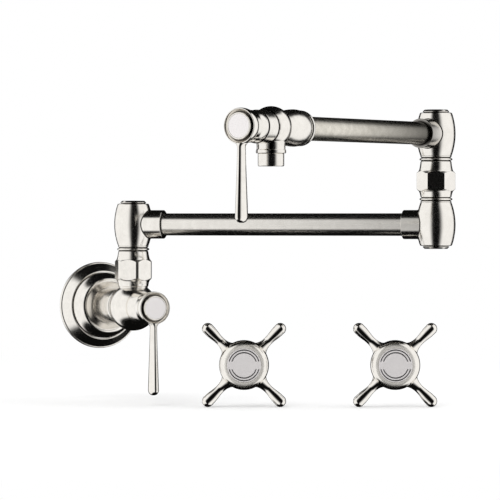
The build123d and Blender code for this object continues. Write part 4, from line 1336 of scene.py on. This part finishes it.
def crossArm(centre, angle):
    # point(s, t) = centre + way * s + side * w(s) cos t + facing * d(s) sin t, where w is a curve fitted
    # to the arm's widths with a quarter circle at the tip, and d is w up to a limit that is least at
    # the waist
    way = unit(crossAcross * math.cos(math.radians(angle)) + up * math.sin(math.radians(angle)))
    reach, tip, waist = cross["armReach"], cross["armTip"], cross["armWaist"]
    stations = np.array(cross["armRun"])
    (rootStart, rootWidth), middle = cross["armRoot"], cross["armMiddle"]
    fit = np.polyfit(stations[:, 0] - middle, stations[:, 1], 6)
    run = np.linspace(stations[0, 0], reach - tip, 44)
    turn = np.linspace(0, np.pi / 2, 14)[1:]
    s = np.concatenate([[rootStart, rootStart, stations[0, 0] - 0.8], run, reach - tip + tip * np.sin(turn)])
    width = np.concatenate([[0, rootWidth, rootWidth], np.polyval(fit, run - middle), tip * np.cos(turn)])
    root = cross["armRootDepth"] * np.clip((waist - s) / cross["armBlend"], 0, 1) ** 1.5
    limit = cross["armDepth"] + root + cross["armDepthGrowth"] * np.clip(s - waist, 0, None)
    depth = np.minimum(width, limit)
    side = np.cross(crossFacing, way)
    t = np.linspace(0, 2 * np.pi, 97)
    points = (
        np.asarray(centre)
        + s[:, None, None] * mm * way
        + width[:, None, None] * mm * np.cos(t)[None, :, None] * side
        + depth[:, None, None] * mm * np.sin(t)[None, :, None] * crossFacing
    )
    surface = np.stack(np.broadcast_arrays((t * tip * mm)[None, :], (s * mm)[:, None]), axis=-1)
    return points, surface


def engraving(x, y):
    # 1 on the two broken circles and 0 off them: exp(-((r - arc) / half width)^4), shut near y = 0
    r = np.hypot(x, y)
    half = 0.5 * cross["arcWidth"]
    lines = sum(np.exp(-(((r - arc) / half) ** 4)) for arc in cross["arcs"])
    return lines / (1 + np.exp(-(np.abs(y) - cross["arcGap"]) / cross["arcEnd"]))


def crossDisc(centre):
    # height(r, t) of the face: flat, less a shallow trough along two broken circles
    face, front = cross["face"], cross["faceHeight"] + cross["discProud"]
    outer, inner = cross["arcs"]
    half = cross["arcWidth"] * 0.8
    runs = (
        (0, inner - half - 0.1, 9),
        (inner - half, inner + half, 22),
        (inner + half + 0.1, outer - half - 0.1, 6),
        (outer - half, outer + half, 22),
        (outer + half + 0.1, face - 0.45, 5),
    )
    radius = np.concatenate([np.linspace(*run) for run in runs])
    t = np.linspace(0, 2 * np.pi, 241)
    height = front - cross["arcDepth"] * engraving(radius[:, None] * np.cos(t), radius[:, None] * np.sin(t))
    rimInset = np.array([[0.35, 0.03], [0.15, 0.12], [0.05, 0.35], [0.05, 1.4], [face, 1.4]])
    rim = np.array([face, front]) - rimInset
    radius = np.concatenate([radius, rim[:, 0]])[:, None]
    height = np.vstack([height, np.broadcast_to(rim[:, 1:2], (len(rim), len(t)))])
    points = (
        np.asarray(centre)
        + (radius * np.cos(t))[..., None] * mm * crossAcross
        + (radius * np.sin(t))[..., None] * mm * up
        + height[..., None] * mm * crossFacing
    )
    return points, np.stack([points @ crossAcross, points @ up], axis=-1)


def crossSatin(x, y, z):
    # 1 on the front of the hub, falling to 0 at the satin's reach
    fade = np.exp((np.hypot(x, y) - cross["satinReach"]) / cross["satinFade"])
    return (z > cross["satinBack"]) / (1 + fade)


def discEngraving(x, y, z):
    # the engraving on the disc's face, 0 on its side
    return engraving(x, y) * (z > cross["faceHeight"])


discMiddle = cross["faceHeight"] + cross["discProud"] - cross["discThickness"] / 2
for handle in ("left_cross_handle", "right_cross_handle"):
    low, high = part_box(handle + "_disc")
    centre = (np.array(low) + np.array(high)) / 2 - crossFacing * discMiddle * mm
    grids = [crossHub(centre)] + [crossArm(centre, angle) for angle in cross["armAngles"]]
    hub = makePiece(handle + "_shell", grids, crossNickel, "wall_side", [handle + "_body"])
    markMesh(hub, "satin", centre, crossFacing, crossSatin)
    grids, name = [crossDisc(centre)], handle + "_disc_shell"
    disc = makePiece(name, grids, engravedSatin, "wall_side", [handle + "_disc"])
    markMesh(disc, "engraving", centre, crossFacing, discEngraving)
print("cross handles made")

# studio: a white floor and world, and a dark tent with two white windows that only reflections see
studio = {
    "floorReach": 6.0,
    "floorTone": (0.94, 0.94, 0.94),
    "floorFade": (0.45, 0.95),  # metres from the middle, where the floor turns into plain white
    "tentRadius": 1.25,
    "leftWindow": (-142, -18),  # degrees from the camera's side of the object
    "rightWindow": (38, 114),
    "windowRise": (-47, 52),
    "softEdge": 6,
    "gapEdge": 12,  # both windows fade out more slowly beside the gap before the camera
    "windowLight": 1.06,
    "darkLight": 0.004,
    "diffuseLight": 0.93,
}
white = (1, 1, 1, 1)
scene = bpy.context.scene
scene.view_settings.view_transform = "Standard"


def addStage(name, points, faces, finish):
    # a thing of the set, which is no piece of the part
    mesh = bpy.data.meshes.new(name)
    mesh.from_pydata(points, [], faces)
    mesh.materials.append(finish)
    thing = bpy.data.objects.new(name, mesh)
    scene.collection.objects.link(thing)
    return thing


def floorFinish():
    # matt near the object, so that it takes the shadow, and plain white further out
    finish, tree, shader = newFinish("pale_floor")
    shader.inputs["Base Color"].default_value = (*studio["floorTone"], 1)
    shader.inputs["Roughness"].default_value = 0.9
    shader.inputs["Specular IOR Level"].default_value = 0.0
    glow = addNode(tree, "ShaderNodeEmission", Strength=1.0)
    place = addNode(tree, "ShaderNodeTexCoord")
    far = addNode(tree, "ShaderNodeVectorMath", operation="LENGTH")
    tree.links.new(place.outputs["Object"], far.inputs[0])
    fade = addRange(tree, far.outputs["Value"], studio["floorFade"], interpolation_type="SMOOTHSTEP")
    blend = addNode(tree, "ShaderNodeMixShader")
    tree.links.new(fade, blend.inputs["Fac"])
    tree.links.new(shader.outputs["BSDF"], blend.inputs[1])
    tree.links.new(glow.outputs["Emission"], blend.inputs[2])
    tree.links.new(blend.outputs["Shader"], tree.nodes["Material Output"].inputs["Surface"])
    return finish


def tentFinish():
    # light(azimuth, rise) = dark + (window - dark) * rise band * the larger of the two azimuth bands,
    # where the azimuth is 0 towards the camera and grows to the photograph's right
    finish = bpy.data.materials.new("tent_cloth")
    finish.use_nodes = True
    tree = finish.node_tree
    tree.nodes.clear()

    def band(value, limits, softLow, softHigh):
        # 1 between the limits, in degrees, with a soft step at each
        low, high = limits
        rising = math.radians(low - softLow), math.radians(low + softLow)
        falling = math.radians(high + softHigh), math.radians(high - softHigh)
        steps = [addRange(tree, value, ends, interpolation_type="SMOOTHSTEP") for ends in (rising, falling)]
        return addMaths(tree, "MULTIPLY", *steps)

    place = addNode(tree, "ShaderNodeTexCoord")
    split = addNode(tree, "ShaderNodeSeparateXYZ")
    turned = addNode(tree, "ShaderNodeVectorRotate", rotation_type="Z_AXIS")
    turned.inputs["Angle"].default_value = math.radians(cameraView["azimuth"])
    tree.links.new(place.outputs["Object"], turned.inputs["Vector"])
    tree.links.new(turned.outputs["Vector"], split.inputs["Vector"])
    x, y, z = (split.outputs[axis] for axis in "XYZ")
    azimuth = addMaths(tree, "ARCTAN2", x, addMaths(tree, "MULTIPLY", y, -1.0))
    rise = addMaths(tree, "ARCSINE", addMaths(tree, "DIVIDE", z, studio["tentRadius"]))
    soft, gap = studio["softEdge"], studio["gapEdge"]
    left = band(azimuth, studio["leftWindow"], soft, gap)
    right = band(azimuth, studio["rightWindow"], gap, soft)
    tall = band(rise, studio["windowRise"], soft, soft)
    window = addMaths(tree, "MULTIPLY", addMaths(tree, "MAXIMUM", left, right), tall)
    scaled = addMaths(tree, "MULTIPLY", window, studio["windowLight"] - studio["darkLight"])
    glow = addNode(tree, "ShaderNodeEmission")
    tree.links.new(addMaths(tree, "ADD", scaled, studio["darkLight"]), glow.inputs["Strength"])
    output = addNode(tree, "ShaderNodeOutputMaterial")
    tree.links.new(glow.outputs["Emission"], output.inputs["Surface"])
    return finish


floorHeight, reach = float(cadBox[0][2]), studio["floorReach"]
floorCorners = [(x * reach, y * reach, floorHeight) for x, y in ((-1, -1), (1, -1), (1, 1), (-1, 1))]
floor = addStage("floor", floorCorners, [(0, 1, 2, 3)], floorFinish())
floor.visible_glossy = False

# the tent's point is radius * (sin polar sin azimuth, sin polar cos azimuth, cos polar)
azimuth, polar = np.meshgrid(np.linspace(0, 2 * np.pi, 97), np.linspace(0.001, np.pi - 0.001, 49))
ways = [np.sin(polar) * np.sin(azimuth), np.sin(polar) * np.cos(azimuth), np.cos(polar)]
tentPoints = (studio["tentRadius"] * np.stack(ways, axis=-1)).reshape(-1, 3)
tent = addStage("studio_tent", tentPoints, gridFaces(*azimuth.shape), tentFinish())
tent.visible_camera = tent.visible_diffuse = tent.visible_shadow = tent.visible_transmission = False

# the world lights the object softly, and is plain white to the camera, to reflections and through glass
world = bpy.data.worlds.new("studio")
scene.world = world
world.use_nodes = True
worldTree = world.node_tree
softLight = worldTree.nodes["Background"]
softLight.inputs["Color"].default_value = white
softLight.inputs["Strength"].default_value = studio["diffuseLight"]
whiteBack = addNode(worldTree, "ShaderNodeBackground", Color=white, Strength=1.0)
path = addNode(worldTree, "ShaderNodeLightPath")
plain = addMaths(worldTree, "MAXIMUM", path.outputs["Is Camera Ray"], path.outputs["Is Glossy Ray"])
plain = addMaths(worldTree, "MAXIMUM", plain, path.outputs["Is Transmission Ray"])
choose = addNode(worldTree, "ShaderNodeMixShader")
worldTree.links.new(plain, choose.inputs["Fac"])
worldTree.links.new(softLight.outputs[0], choose.inputs[1])
worldTree.links.new(whiteBack.outputs[0], choose.inputs[2])
worldTree.links.new(choose.outputs[0], worldTree.nodes["World Output"].inputs["Surface"])

lamps = {
    "key": {"place": (-1.3, -1.2, 1.5), "size": 1.4, "power": 12.0},
    "fill": {"place": (1.5, -0.9, 1.2), "size": 1.4, "power": 8.0},
}
lampTarget = np.array([0.0, -0.2, 0.0])
for name, settings in lamps.items():
    lamp = bpy.data.objects.new(name, bpy.data.lights.new(name, "AREA"))
    lamp.data.size = settings["size"]
    lamp.data.energy = settings["power"]
    lamp.location = settings["place"]
    x, y, z = unit(lampTarget - np.array(settings["place"]))
    lamp.rotation_euler = (math.acos(-z), 0, math.atan2(x, -y) + math.pi)
    lamp.visible_glossy = False
    scene.collection.objects.link(lamp)
print("studio made")
